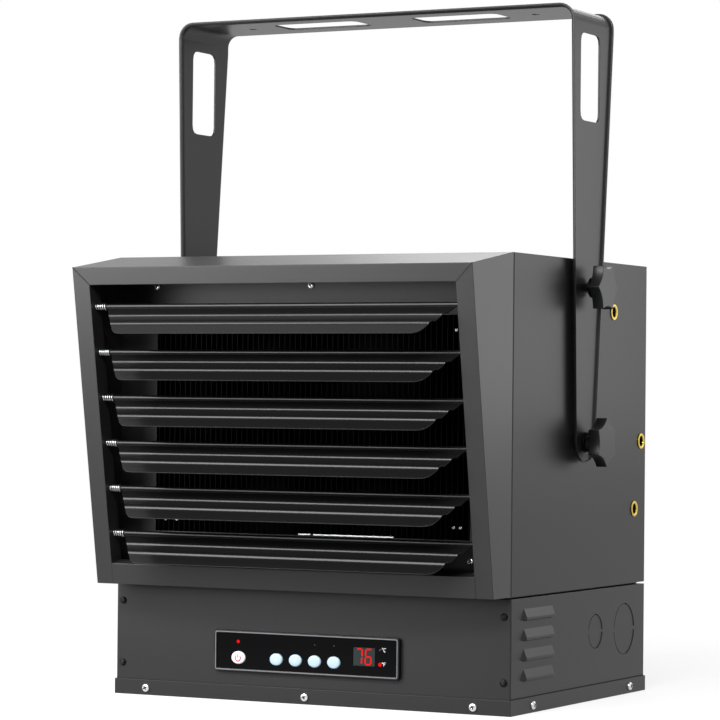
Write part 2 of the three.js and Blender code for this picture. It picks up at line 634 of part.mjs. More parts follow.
/** Side view of the hood, shrunk by `t` on its top, foot and front. */
function hoodSection(t, rear) {
  const slope = HOOD_TOP_DROP / HOOD_TOP_REACH;
  const head = t * Math.hypot(1, slope);
  const front = t / Math.cos(RAKE);
  const rake = Math.tan(RAKE);
  const frontAt = (z) => -HOOD_FOOT_REACH + front - (z - CABINET_BOTTOM) * rake;
  const topAt = (y) => BODY_TOP - head + y * slope;
  const cornerZ = BODY_TOP - HOOD_TOP_DROP - head;
  const cornerY = frontAt(cornerZ);
  const foot = CABINET_BOTTOM + t;
  return polygon([
    [rear, topAt(0)], [0, topAt(0)], [cornerY, topAt(cornerY)], [frontAt(foot), foot], [rear, foot],
  ]);
}

function hood() {
  const rear = BODY_FRONT - SEAT;
  const outer = alongX(hoodSection(0, rear), -HALF, HALF);
  const inner = alongX(hoodSection(SHEET, rear + 5), -HALF + SHEET, HALF - SHEET);
  const opening = polygon([
    [-OPENING_HALF, FRAME_FOOT], [OPENING_HALF, FRAME_FOOT],
    [OPENING_HALF, FRONT_LENGTH - FRAME_HEAD], [-OPENING_HALF, FRONT_LENGTH - FRAME_HEAD],
  ]);
  const sleeve = polygon([
    [-OPENING_HALF - SHEET, FRAME_FOOT - SHEET], [OPENING_HALF + SHEET, FRAME_FOOT - SHEET],
    [OPENING_HALF + SHEET, FRONT_LENGTH - FRAME_HEAD + SHEET],
    [-OPENING_HALF - SHEET, FRONT_LENGTH - FRAME_HEAD + SHEET],
  ]);
  const returns = onFront(sleeve, -FRAME_RETURN, -SHEET / 2);
  const body = cut(join(outer.subtract(inner), returns), onFront(opening, -FRAME_RETURN - 1, 5));
  const pins = Array.from({ length: LOUVRE_COUNT }, (_, i) => {
    const pivot = louvrePivot(i);
    const reach = OPENING_HALF + SHEET + 1;
    return barX(-reach, reach, pivot.y, pivot.z, PIN_RADIUS + PIN_CLEARANCE, 12);
  });
  return cut(body, ...pins);
}

// ---------------------------------------------------------------- louvres
// Centre line of the pressed blade from its curled pivot edge, as [forward, down].
const BLADE_LINE = [
  [0.4, 1.6], [4.5, 2.4], [10.4, 6.9], [12.2, 6.3], [14.5, 7.3], [15.7, 9.6], [20.2, 13.3],
  [22.1, 12.9], [24.3, 14.1], [25.4, 16.3], [29.2, 19.9], [32.6, 23.1],
];

/** A strip of even thickness along a centre line. */
function strip(line, thickness) {
  const normals = line.map((point, i) => {
    const before = line[Math.max(i - 1, 0)];
    const after = line[Math.min(i + 1, line.length - 1)];
    const length = Math.hypot(after[0] - before[0], after[1] - before[1]);
    return [-(after[1] - before[1]) / length, (after[0] - before[0]) / length];
  });
  const side = (sign) => line.map(([a, b], i) =>
    [a + (sign * normals[i][0] * thickness) / 2, b + (sign * normals[i][1] * thickness) / 2]);
  return [...side(1), ...side(-1).reverse()];
}

const BLADE_LEFT = -OPENING_HALF + SEAT + SPRING_LENGTH + SEAT;
const BLADE_RIGHT = OPENING_HALF - LOUVRE_END_CLEARANCE;
const BLADE_TIP = BLADE_LINE[BLADE_LINE.length - 1];
const BLADE_WIDTH = Math.hypot(...BLADE_TIP);

/** Plan outline of the blade: slanted ends that run into round lower corners. */
function bladePlan() {
  const far = BLADE_WIDTH + 0.5;
  const straight = far - 5.5;
  const cornered = LOUVRE_END_TAPER + LOUVRE_CORNER;
  const shape = new THREE.Shape();
  shape.moveTo(BLADE_LEFT, -4);
  shape.lineTo(BLADE_LEFT, 0);
  shape.lineTo(BLADE_LEFT + LOUVRE_END_TAPER, straight);
  shape.quadraticCurveTo(BLADE_LEFT + LOUVRE_END_TAPER + 3, far, BLADE_LEFT + cornered, far);
  shape.lineTo(BLADE_RIGHT - cornered, far);
  shape.quadraticCurveTo(BLADE_RIGHT - LOUVRE_END_TAPER - 3, far, BLADE_RIGHT - LOUVRE_END_TAPER, straight);
  shape.lineTo(BLADE_RIGHT, 0);
  shape.lineTo(BLADE_RIGHT, -4);
  shape.closePath();
  return shape;
}

function louvre() {
  const section = strip(BLADE_LINE, LOUVRE_SHEET).map(([forward, down]) => [-forward, -down]);
  const blade = alongX(polygon(section), BLADE_LEFT, BLADE_RIGHT);
  const chord = new THREE.Vector3(0, -BLADE_TIP[0], -BLADE_TIP[1]).normalize();
  const plan = prism(bladePlan(), X, chord, -12, 12, 5);
  const rod = barX(BLADE_LEFT, BLADE_RIGHT, 0, 0, LOUVRE_ROD_RADIUS, 10);
  const pinReach = OPENING_HALF + SHEET + PIN_OVERHANG;
  const pin = barX(-pinReach, pinReach, 0, 0, PIN_RADIUS, 8);
  return join(blade.intersect(plan), rod, pin);
}

/** Points of a compression spring's wire: a helix whose ends turn in and run straight along its axis. */
function springPath() {
  const wire = SPRING_WIRE;
  const lead = wire * 1.2;
  const start = -OPENING_HALF + SEAT;
  const body = SPRING_LENGTH - 2 * (lead + wire);
  const count = SPRING_TURNS * SPRING_STEPS;
  const helix = Array.from({ length: count + 1 }, (_, i) => {
    const angle = (i / SPRING_STEPS) * Math.PI * 2;
    const x = start + lead + wire + (body * i) / count;
    return new THREE.Vector3(x, SPRING_RADIUS * Math.cos(angle), SPRING_RADIUS * Math.sin(angle));
  });
  const run = (x, sign) => {
    const angle = (-sign * 0.75 * wire) / SPRING_RADIUS;
    const y = SPRING_RADIUS * Math.cos(angle);
    const z = SPRING_RADIUS * Math.sin(angle);
    return { x, y, z };
  };
  const head = run(start, 1);
  const tail = run(start + SPRING_LENGTH, -1);
  return [
    new THREE.Vector3(head.x, head.y, head.z),
    new THREE.Vector3(head.x + lead, head.y, head.z),
    new THREE.Vector3(head.x + lead + wire * 0.6, head.y, head.z * 0.8),
    ...helix,
    new THREE.Vector3(tail.x - lead - wire * 0.6, tail.y, tail.z * 0.8),
    new THREE.Vector3(tail.x - lead, tail.y, tail.z),
    new THREE.Vector3(tail.x, tail.y, tail.z),
  ];
}

function spring() {
  return loft(tubeRings(springPath(), SPRING_WIRE / 2, SPRING_SIDES));
}

/** Least gap between stretches of wire that lie at least half a turn apart. */
function springGap() {
  const path = springPath();
  const apart = SPRING_STEPS / 2;
  let least = Infinity;
  path.forEach((a, i) => path.slice(i + apart).forEach((b) => {
    least = Math.min(least, a.distanceTo(b) - SPRING_WIRE);
  }));
  return least;
}
console.log(`spring: least gap to itself ${springGap().toFixed(2)} mm`);

// ---------------------------------------------------------------- heating bank
function finBank() {
  const half = OUTLET_HALF_WIDTH + FIN_OVERLAP;
  const low = OUTLET_SILL - FIN_OVERLAP;
  const high = OUTLET_HEAD + FIN_OVERLAP;
  const back = BANK_FRONT + FIN_DEPTH;
  const count = Math.floor((2 * (half - FIN_FRAME)) / FIN_PITCH);
  const first = -(count * FIN_PITCH) / 2;
  const passages = Array.from({ length: count }, (_, i) => {
    const left = first + i * FIN_PITCH + FIN_SHEET / 2;
    const right = left + FIN_PITCH - FIN_SHEET;
    return block(left, right, BANK_FRONT - 1, back + 1, low + FIN_FRAME, high - FIN_FRAME);
  });
  return cut(block(-half, half, BANK_FRONT, back, low, high), ...passages);
}

/** One hairpin of sheathed heating rod behind the fins. */
function heatingRod(middleZ) {
  const y = BANK_FRONT + FIN_DEPTH + SEAT + ROD_RADIUS;
  const left = -OUTLET_HALF_WIDTH - FIN_OVERLAP + 2;
  const right = OUTLET_HALF_WIDTH - ROD_BEND - 4;
  const bend = Array.from({ length: 9 }, (_, i) => {
    const angle = -Math.PI / 2 + (i / 8) * Math.PI;
    return new THREE.Vector3(right + ROD_BEND * Math.cos(angle), y, middleZ + ROD_BEND * Math.sin(angle));
  });
  const path = [
    new THREE.Vector3(left, y, middleZ - ROD_BEND),
    ...bend,
    new THREE.Vector3(left, y, middleZ + ROD_BEND),
  ];
  return loft(tubeRings(path, ROD_RADIUS, 8));
}

function limitSwitch() {
  const x = -(HALF - SHEET + OUTLET_HALF_WIDTH + FIN_OVERLAP) / 2;
  const z = OUTLET_HEAD - LIMIT_DROP;
  const back = BANK_FRONT + LIMIT_HEIGHT;
  const ear = LIMIT_RADIUS + 2;
  const cap = barY(BANK_FRONT, back, x, z, LIMIT_RADIUS, 16);
  const ears = block(x - ear, x + ear, BANK_FRONT, BANK_FRONT + SHEET, z - LIMIT_RADIUS / 2, z + LIMIT_RADIUS / 2);
  const tabs = [-0.45, 0.45].map((share) => {
    const middle = x + share * LIMIT_RADIUS;
    return block(middle - 0.5, middle + 0.5, back - 0.2, back + 7, z - 3, z + 3);
  });
  return join(cap, ears, ...tabs);
}

// ---------------------------------------------------------------- fan
function fanShroud() {
  const outer = SHROUD_RADIUS + SHROUD_SHEET;
  const rear = REAR_PANEL_FRONT - SEAT;
  const tube = barY(SHROUD_FRONT, rear, 0, FAN_Z, outer, 40);
  const flange = barY(rear - 1.5, rear, 0, FAN_Z, outer + 8, 40);
  const throat = barY(SHROUD_FRONT - 1, rear + 1, 0, FAN_Z, SHROUD_RADIUS, 40);
  const notch = strapBlock(SEAT);
  return cut(join(tube, flange), throat, notch);
}

/** The strap that carries the motor, grown on every side by `grow`. */
function strapBlock(grow) {
  const reach = SHROUD_RADIUS + SHROUD_SHEET + 14;
  return block(-reach - grow, reach + grow, STRAP_FRONT - grow, STRAP_FRONT + STRAP_SHEET + grow,
    FAN_Z - STRAP_WIDTH / 2 - grow, FAN_Z + STRAP_WIDTH / 2 + grow);
}

function fanMotor() {
  const rear = STRAP_FRONT - SEAT;
  const front = MOTOR_FRONT;
  const profile = [
    [0, rear], [MOTOR_RADIUS * 0.86, rear], [MOTOR_RADIUS, rear - 5], [MOTOR_RADIUS, front + 9],
    [MOTOR_RADIUS * 0.8, front + 2], [14, front], [SHAFT_RADIUS, front],
    [SHAFT_RADIUS, FAN_HUB_FRONT + 8], [0, FAN_HUB_FRONT + 8],
  ].map(([r, y]) => new THREE.Vector2(r, y));
  const lathe = new THREE.LatheGeometry(profile, 24);
  lathe.translate(0, 0, FAN_Z);
  return outwardSolid(lathe);
}

/** A solid from a closed geometry whose faces may all point inward. */
function outwardSolid(geometry) {
  const merged = geometry.index ? geometry : mergeVertices(geometry);
  const first = solid(merged);
  if (first.volume() > 0) {
    return first;
  }
  const flipped = merged.clone();
  const index = flipped.index.array;
  for (let i = 0; i < index.length; i += 3) {
    const keep = index[i];
    index[i] = index[i + 2];
    index[i + 2] = keep;
  }
  return solid(flipped);
}

/** One fan blade along +X: a cambered, pitched sheet cut to a paddle that widens towards its round tip. */
function fanBlade() {
  const pitch = THREE.MathUtils.degToRad(BLADE_PITCH);
  const half = BLADE_TIP_CHORD / 2;
  const line = Array.from({ length: 7 }, (_, i) => {
    const share = i / 3 - 1;
    const bow = BLADE_CAMBER * (0.5 - share * share);
    const across = share * half;
    return [across * Math.sin(pitch) + bow, across * Math.cos(pitch)];
  });
  const sheet = alongX(polygon(strip(line, BLADE_SHEET)), FAN_HUB_RADIUS - 6, FAN_RADIUS + 5);
  const root = (BLADE_ROOT_CHORD / 2) * Math.cos(pitch);
  const tip = half * Math.cos(pitch) + 1;
  const span = FAN_RADIUS - FAN_HUB_RADIUS;
  const edge = [[-6, root], [0, root], [span * 0.35, tip * 0.82], [span * 0.7, tip], [span * 0.9, tip * 0.96],
    [span + 5, tip * 0.7]].map(([out, across]) => [FAN_HUB_RADIUS + out, across]);
  const outline = polygon([...edge, ...edge.slice().reverse().map(([out, across]) => [out, -across])]);
  return sheet.intersect(alongY(outline, -half, half)).intersect(barY(-half, half, 0, 0, FAN_RADIUS, 40));
}

function fanRotor() {
  const middle = FAN_HUB_FRONT + FAN_HUB_LENGTH / 2;
  const back = FAN_HUB_FRONT + FAN_HUB_LENGTH;
  const hub = barY(FAN_HUB_FRONT, back, 0, FAN_Z, FAN_HUB_RADIUS, FAN_BLADES * 6);
  const bore = barY(FAN_HUB_FRONT + 7, back + 1, 0, FAN_Z, SHAFT_RADIUS + SEAT + 0.1, 16);
  const blade = fanBlade();
  const blades = Array.from({ length: FAN_BLADES }, (_, i) =>
    blade.rotate([0, (i * 360) / FAN_BLADES, 0]).translate([0, middle, FAN_Z]));
  return cut(join(hub, ...blades), bore);
}

// ---------------------------------------------------------------- control box
/** Outside and hollow of one pressed vent on the right wall; its slit opens downward. */
function vent(slitZ) {
  const hull = (points) => solid(new ConvexGeometry(points.map((p) => new THREE.Vector3(...p))));
  const top = slitZ + VENT_HEIGHT;
  const back = VENT_FRONT + VENT_LENGTH;
  const taper = VENT_LENGTH / 10;
  const root = HALF - SHEET / 2;
  const shape = hull([
    [root, VENT_FRONT, slitZ], [root, back, slitZ],
    [root, VENT_FRONT + taper, top], [root, back - taper, top],
    [HALF, VENT_FRONT, slitZ], [HALF, back, slitZ],
    [HALF, VENT_FRONT + taper, top], [HALF, back - taper, top],
    [HALF + VENT_PROUD, VENT_FRONT + taper, slitZ], [HALF + VENT_PROUD, back - taper, slitZ],
    [HALF + VENT_PROUD, VENT_FRONT + taper, slitZ + 2], [HALF + VENT_PROUD, back - taper, slitZ + 2],
  ]);
  const deep = HALF - SHEET - 1;
  const t = VENT_SHEET;
  const hollow = hull([
    [deep, VENT_FRONT + 2 * t, slitZ - 0.6], [deep, back - 2 * t, slitZ - 0.6],
    [deep, VENT_FRONT + taper + t, top - 2 * t], [deep, back - taper - t, top - 2 * t],
    [HALF + VENT_PROUD - t, VENT_FRONT + taper + t, slitZ - 0.6],
    [HALF + VENT_PROUD - t, back - taper - t, slitZ - 0.6],
    [HALF + VENT_PROUD - t, VENT_FRONT + taper + t, slitZ + 1],
    [HALF + VENT_PROUD - t, back - taper - t, slitZ + 1],
  ]);
  return { shape, hollow };
}

/** Score line of a knockout in the right wall, broken by two tabs. */
function knockoutScore({ fromBack, z, radius }) {
  const y = BODY_BACK - fromBack;
  const half = KNOCKOUT_SCORE / 2;
  const outer = barX(HALF - SHEET / 2, HALF + 1, y, z, radius + half, 28);
  const inner = barX(HALF - SHEET, HALF + 2, y, z, radius - half, 28);
  const tab = block(HALF - SHEET, HALF + 2, y - radius - 2, y + radius + 2, z - 1.8, z + 1.8);
  return cut(outer, inner, tab);
}

function controlBox() {
  const low = BOX_FLOOR;
  const outer = block(-HALF, HALF, BODY_FRONT, BODY_BACK, low, BOX_TOP);
  const cavity = block(-HALF + SHEET, HALF - SHEET, BODY_FRONT + SHEET, BODY_BACK - SHEET,
    low - 1, BOX_TOP - SHEET);
  const window = block(-PANEL_HALF_WIDTH + WINDOW_MARGIN, PANEL_HALF_WIDTH - WINDOW_MARGIN,
    BODY_FRONT - 1, BODY_FRONT + SHEET + 1, PANEL_BOTTOM + WINDOW_MARGIN, PANEL_TOP - WINDOW_MARGIN);
  let body = outer.subtract(cavity);
  for (let i = 0; i < VENT_COUNT; i += 1) {
    const { shape, hollow } = vent(VENT_LOWEST + i * VENT_PITCH);
    body = body.add(shape).subtract(hollow);
    body = body.add(shape.mirror([1, 0, 0])).subtract(hollow.mirror([1, 0, 0]));
  }
  return cut(body, window, knockoutScore(KNOCKOUT_SMALL), knockoutScore(KNOCKOUT_LARGE));
}

function baseTray() {
  const half = TRAY_WIDTH / 2;
  const outer = block(-half, half, 0, TRAY_DEPTH, 0, TRAY_HEIGHT);
  const inner = block(-half + TRAY_SHEET, half - TRAY_SHEET, TRAY_SHEET, TRAY_DEPTH - TRAY_SHEET,
    TRAY_SHEET, TRAY_HEIGHT + 1);
  return outer.subtract(inner);
}

function bezel() {
  const rim = (grow) => roundedRectangle(-PANEL_HALF_WIDTH + grow, PANEL_HALF_WIDTH - grow,
    PANEL_BOTTOM + grow, PANEL_TOP - grow, PANEL_CORNER - grow);
  const outer = alongY(rim(0), PANEL_FRONT, BODY_FRONT - SEAT, 4);
  const inner = alongY(rim(PANEL_RIM), PANEL_FRONT - 1, BODY_FRONT + 1, 4);
  return outer.subtract(inner);
}

function panelFace() {
  const grow = PANEL_RIM + SEAT;
  const plate = alongY(roundedRectangle(-PANEL_HALF_WIDTH + grow, PANEL_HALF_WIDTH - grow,
    PANEL_BOTTOM + grow, PANEL_TOP - grow, PANEL_CORNER - grow), PANEL_FACE, BODY_FRONT - SEAT, 4);
  const buttonHoles = BUTTONS.map(({ x, width, height }) => alongY(
    ellipse(x, BUTTON_Z, width + 2 * SEAT, height + 2 * SEAT), PANEL_FACE - 1, BODY_FRONT + 1, 10));
  const display = block(DISPLAY_LEFT, DISPLAY_RIGHT, PANEL_FACE - 1, BODY_FRONT + 1,
    DISPLAY_BOTTOM, DISPLAY_TOP);
  return cut(plate, display, ...buttonHoles);
}

function displayWindow() {
  return block(DISPLAY_LEFT + SEAT, DISPLAY_RIGHT - SEAT, PANEL_FACE + 0.2, BODY_FRONT - SEAT,
    DISPLAY_BOTTOM + SEAT, DISPLAY_TOP - SEAT);
}

const BUTTON_FRONT = PANEL_FACE - BUTTON_PROUD;
const BUTTON_BACK = BODY_FRONT - 2 * SEAT;

function button({ x, width, height }) {
  const cap = ellipse(x, BUTTON_Z, width, height);
  const crown = ellipse(x, BUTTON_Z, width - 1.6, height - 1.6);
  return join(alongY(cap, BUTTON_FRONT + 0.6, BUTTON_BACK, 10),
    alongY(crown, BUTTON_FRONT, BUTTON_FRONT + 1, 10));
}

/** Circuit board behind the panel, with a tactile switch under each button. */
function circuitBoard() {
  const front = BODY_FRONT + SHEET + SEAT;
  const plate = block(-PANEL_HALF_WIDTH, PANEL_HALF_WIDTH, front, front + BOARD_THICKNESS,
    PANEL_BOTTOM, PANEL_TOP);
  const switches = BUTTONS.map(({ x }) =>
    barY(BUTTON_BACK + BUTTON_TRAVEL + SEAT, front + 0.5, x, BUTTON_Z, 2, 10));
  return join(plate, ...switches);
}

function terminalBlock() {
  const { width, depth, height, bays, wall } = TERMINAL;
  const floor = BOX_FLOOR + SEAT;
  const right = HALF - TERMINAL.fromSide;
  const y = BODY_BACK - TERMINAL.fromBack;
  const body = block(right - width, right, y, y + depth, floor, floor + height);
  const pitch = (width - wall) / bays;
  const hollows = Array.from({ length: bays }, (_, i) => {
    const left = right - width + wall + i * pitch;
    return block(left, left + pitch - wall, y - 1, y + depth + 1, floor + height * 0.6, floor + height + 1);
  });
  return cut(body, ...hollows);
}

function contactor() {
  const { width, depth, height, coil, step } = CONTACTOR;
  const floor = BOX_FLOOR + SEAT;
  const left = -HALF + CONTACTOR.fromSide;
  const y = BODY_BACK - CONTACTOR.fromBack;
  const base = block(left, left + width, y, y + depth, floor, floor + height);
  const top = block(left + step, left + width - step, y + step, y + depth - step,
    floor + height - 1, floor + height + coil);
  return join(base, top);
}

// ---------------------------------------------------------------- knobs
/** Six lobed outline of a star knob, turned by `phase` degrees. */
function starShape(phase) {
  const steps = STAR_LOBES * 5;
  const mean = (STAR_TIP_RADIUS + STAR_ROOT_RADIUS) / 2;
  const swing = (STAR_TIP_RADIUS - STAR_ROOT_RADIUS) / 2;
  return polygon(Array.from({ length: steps }, (_, i) => {
    const angle = (i / steps) * Math.PI * 2;
    const r = mean + swing * Math.cos(STAR_LOBES * angle);
    const turned = angle + THREE.MathUtils.degToRad(phase);
    return [r * Math.cos(turned), r * Math.sin(turned)];
  }));
}

/** A star knob with its hub and bolt on the right side; `seat` is its hub's face, `tip` the bolt's end. */
function knob(side, seat, tip, phase) {
  const back = STAR_FACE - STAR_THICKNESS;
  const star = alongX(starShape(phase), back, STAR_FACE);
  const hub = barX(seat, back + 1, 0, 0, HUB_RADIUS, 20);
  const bolt = barX(tip, back + 1, 0, 0, THREAD_RADIUS - THREAD_CLEARANCE, 12);
  const body = join(star, hub, bolt);
  return side > 0 ? body : body.mirror([1, 0, 0]);
}

function washer(side, from) {
  const disc = barX(from, from + WASHER_THICKNESS, 0, 0, WASHER_RADIUS, 20);
  const hole = barX(from - 1, from + WASHER_THICKNESS + 1, 0, 0, THREAD_RADIUS + 0.1, 12);
  const body = disc.subtract(hole);
  return side > 0 ? body : body.mirror([1, 0, 0]);
}

// ---------------------------------------------------------------- build
add('bracket', bracket(), BLACK_COAT);
add('cabinet_shell', cabinetShell(), BLACK_COAT);
add('hood', hood(), BLACK_COAT);
add('rear_panel', rearPanel(), DARK_COAT);
add('fan_guard', fanGuard(), STEEL);
add('control_box', controlBox(), BLACK_COAT);
add('base_tray', baseTray(), BLACK_COAT);

const bladeGeometry = geometryOf(louvre());
const springGeometry = spring();
for (let i = 0; i < LOUVRE_COUNT; i += 1) {
  const place = louvrePivot(i).toArray();
  const label = LOUVRE_COUNT - i;
  add(`louvre_${label}`, bladeGeometry, DARK_COAT, place);
  add(`louvre_spring_${label}`, springGeometry, STEEL, place);
}

add('fin_bank', finBank(), ALUMINIUM);
for (let i = 0; i < ROD_COUNT; i += 1) {
  const step = (OUTLET_HEAD - OUTLET_SILL) / ROD_COUNT;
  add(`heating_rod_${i + 1}`, heatingRod(OUTLET_SILL + step * (i + 0.5)), STEEL);
}
add('limit_switch', limitSwitch(), BLACK_PLASTIC);
add('fan_shroud', fanShroud(), DARK_COAT);
add('motor_strap', strapBlock(0), DARK_COAT);
add('fan_motor', fanMotor(), DARK_COAT);
add('fan_rotor', fanRotor(), ALUMINIUM);

add('bezel', bezel(), RIM_PLASTIC);
add('panel_face', panelFace(), GLOSS_PLASTIC);
add('display_window', displayWindow(), SMOKED);
BUTTONS.forEach((spec, i) => add(spec.name, button(spec), i === 0 ? WHITE_PLASTIC : PALE_PLASTIC));
add('circuit_board', circuitBoard(), BOARD_GREEN);
add('terminal_block', terminalBlock(), BLACK_PLASTIC);
add('contactor', contactor(), BLACK_PLASTIC);

const insertFace = HALF + SEAT + INSERT_FLANGE;
const LOCK_TIP = insertFace + SEAT;
const LOCK_HUB = STAR_FACE - STAR_THICKNESS - LOCK_HUB_LENGTH;
const PIVOT_WASHER = LEG_OUTER + SEAT;
[['right', 1], ['left', -1]].forEach(([label, side]) => {
  insertPlaces().forEach(([y, z], i) => {
    const name = i === 0 ? `insert_${label}_pivot` : `insert_${label}_lock_${i}`;
    add(name, insert(side), BRASS, [side * (HALF + SEAT), y, z]);
  });
  const pivotPlace = [0, TILT_Y, TILT_Z];
  const lockPlace = [0, TILT_Y, TILT_Z + LOCK_RADIUS];
  add(`pivot_washer_${label}`, washer(side, PIVOT_WASHER), STEEL, pivotPlace);
  add(`pivot_knob_${label}`, knob(side, PIVOT_WASHER + WASHER_THICKNESS + SEAT,
    insertFace - INSERT_FLANGE - PIVOT_GRIP, 30), BLACK_PLASTIC, pivotPlace);
  add(`lock_washer_${label}`, washer(side, LOCK_HUB - SEAT - WASHER_THICKNESS), STEEL, lockPlace);
  add(`lock_knob_${label}`, knob(side, LOCK_HUB, LOCK_TIP, 0), BLACK_PLASTIC, lockPlace);
});

export default group;
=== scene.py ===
"""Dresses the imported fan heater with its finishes, fasteners, blades, springs and panel marks.

Places are in millimetres: X from the heater's middle to the viewer's right, Y from the front of
the base tray to the back, Z up from the tray's underside. ``at`` turns them into the row frame.
"""

from __future__ import annotations

import logging
import math
from dataclasses import dataclass
from enum import Enum
from typing import Iterable, Sequence

import bmesh
import bpy
from mathutils import Matrix, Vector
from mathutils.geometry import interpolate_bezier

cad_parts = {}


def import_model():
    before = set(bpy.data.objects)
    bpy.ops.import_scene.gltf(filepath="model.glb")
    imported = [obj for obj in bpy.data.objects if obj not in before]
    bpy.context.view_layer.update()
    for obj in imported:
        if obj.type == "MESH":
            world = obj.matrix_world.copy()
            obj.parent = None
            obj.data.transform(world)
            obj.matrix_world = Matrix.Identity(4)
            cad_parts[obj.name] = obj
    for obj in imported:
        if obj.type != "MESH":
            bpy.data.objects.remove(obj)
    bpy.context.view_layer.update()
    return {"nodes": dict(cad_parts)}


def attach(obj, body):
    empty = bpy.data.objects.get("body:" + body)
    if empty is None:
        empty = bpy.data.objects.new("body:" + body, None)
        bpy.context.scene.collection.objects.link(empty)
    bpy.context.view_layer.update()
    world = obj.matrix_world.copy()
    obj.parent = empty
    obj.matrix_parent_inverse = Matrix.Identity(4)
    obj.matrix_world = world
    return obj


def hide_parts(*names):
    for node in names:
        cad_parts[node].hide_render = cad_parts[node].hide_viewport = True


LOG = logging.getLogger("fan_heater")

SLOT_Y = 141.5  # origin of the row frame, between the bracket's slots
CEILING_Z = 579.4
TILT_Y = 139.0  # axis on which the heater swings
TILT_Z = 217.5
LOCK_RADIUS = 129.0  # from the tilt axis to the lock holes
HALF = 183.7  # half the cabinet's width
REAR = 277.2  # face of the rear panel

Point = tuple[float, float, float]
Pair = tuple[float, float]
Pairs = tuple[Pair, ...]
Tree = bpy.types.NodeTree
Socket = bpy.types.NodeSocket
Material = bpy.types.Material
Object = bpy.types.Object

SIDES = (("right", 1), ("left", -1))
FRONTWARD: Point = (0, -1, 0)
BACKWARD: Point = (0, 1, 0)


def at(x: float, y: float, z: float) -> Vector:
    """Row frame place, in metres, of a point given in heater millimetres."""
    return Vector((x, y - SLOT_Y, z - CEILING_Z)) / 1000.0


def circle(sides: int) -> list[Pair]:
    """(cosine, sine) of evenly spaced angles round a full turn."""
    return [(math.cos(a), math.sin(a)) for a in (2 * math.pi * k / sides for k in range(sides))]


def arc(start: float, end: float, steps: int) -> list[Pair]:
    """(cosine, sine) of evenly spaced angles from one degree mark to another, both included."""
    angles = (math.radians(start + (end - start) * k / steps) for k in range(steps + 1))
    return [(math.cos(a), math.sin(a)) for a in angles]


# ---- colours and nodes
def linear(hex_colour: str) -> tuple[float, float, float, float]:
    """Linear red, green, blue and an alpha of one, from an sRGB colour such as "2b2c2d"."""
    parts = [int(hex_colour[i : i + 2], 16) / 255.0 for i in (0, 2, 4)]
    bright = [c / 12.92 if c <= 0.04045 else ((c + 0.055) / 1.055) ** 2.4 for c in parts]
    return bright[0], bright[1], bright[2], 1.0


def put(tree: Tree, kind: str, inputs: dict | None = None, **settings: object) -> bpy.types.Node:
    """Adds one shader node.

    Args:
        tree: the node tree it goes into.
        kind: the node's type name.
        inputs: socket names or numbers with a value, or with an output socket to link from.
        **settings: properties of the node itself.

    Returns:
        The new node.
    """
    made = tree.nodes.new(kind)
    for name, value in settings.items():
        setattr(made, name, value)
    for name, value in (inputs or {}).items():
        socket = made.inputs[name]
        if isinstance(value, Socket):
            tree.links.new(value, socket)
        else:
            socket.default_value = value
    return made


def cloud(tree: Tree, size_mm: float, detail: float) -> Socket:
    """Noise whose pattern repeats about every ``size_mm`` in object coordinates."""
    place = put(tree, "ShaderNodeTexCoord").outputs["Object"]
    inputs = {"Vector": place, "Scale": 1000.0 / size_mm, "Detail": detail}
    return put(tree, "ShaderNodeTexNoise", inputs).outputs["Fac"]


def new_tree(name: str) -> tuple[Material, Tree]:
    """An empty material with its tree."""
    material = bpy.data.materials.new(name)
    material.use_nodes = True
    material.node_tree.nodes.clear()
    return material, material.node_tree


def close(tree: Tree, shader: Socket) -> None:
    """Links a shader to the material's output."""
    put(tree, "ShaderNodeOutputMaterial", {"Surface": shader})


def principled(name: str, inputs: dict[str, object], grain: Grain | None = None) -> Material:
    """A material of one principled shader, whose grain sets its roughness and normal."""
    material, tree = new_tree(name)
    surface = grain.sockets(tree) if grain else {}
    close(tree, put(tree, "ShaderNodeBsdfPrincipled", {**inputs, **surface}).outputs["BSDF"])
    return material


# ---- finishes
@dataclass(frozen=True)
class Grain:
    """Fine noise that varies a surface's gloss and raises it a little, with rounded edges."""

    size_mm: float
    detail: float
    gloss: Pair  # lowest and highest roughness
    strength: float
    depth_mm: float
    edge_mm: float  # radius to which edges are rounded in the shading
    samples: int = 4

    def sockets(self, tree: Tree) -> dict[str, Socket]:
        """Builds the nodes and gives their sockets by the shader's input names."""
        noise = cloud(tree, self.size_mm, self.detail)
        span = {"Value": noise, "To Min": self.gloss[0], "To Max": self.gloss[1]}
        edge = put(tree, "ShaderNodeBevel", {"Radius": self.edge_mm / 1000.0}, samples=self.samples)
        raised = {
            "Height": noise,
            "Strength": self.strength,
            "Distance": self.depth_mm / 1000.0,
            "Normal": edge.outputs["Normal"],
        }
        return {
            "Roughness": put(tree, "ShaderNodeMapRange", span).outputs["Result"],
            "Normal": put(tree, "ShaderNodeBump", raised).outputs["Normal"],
        }


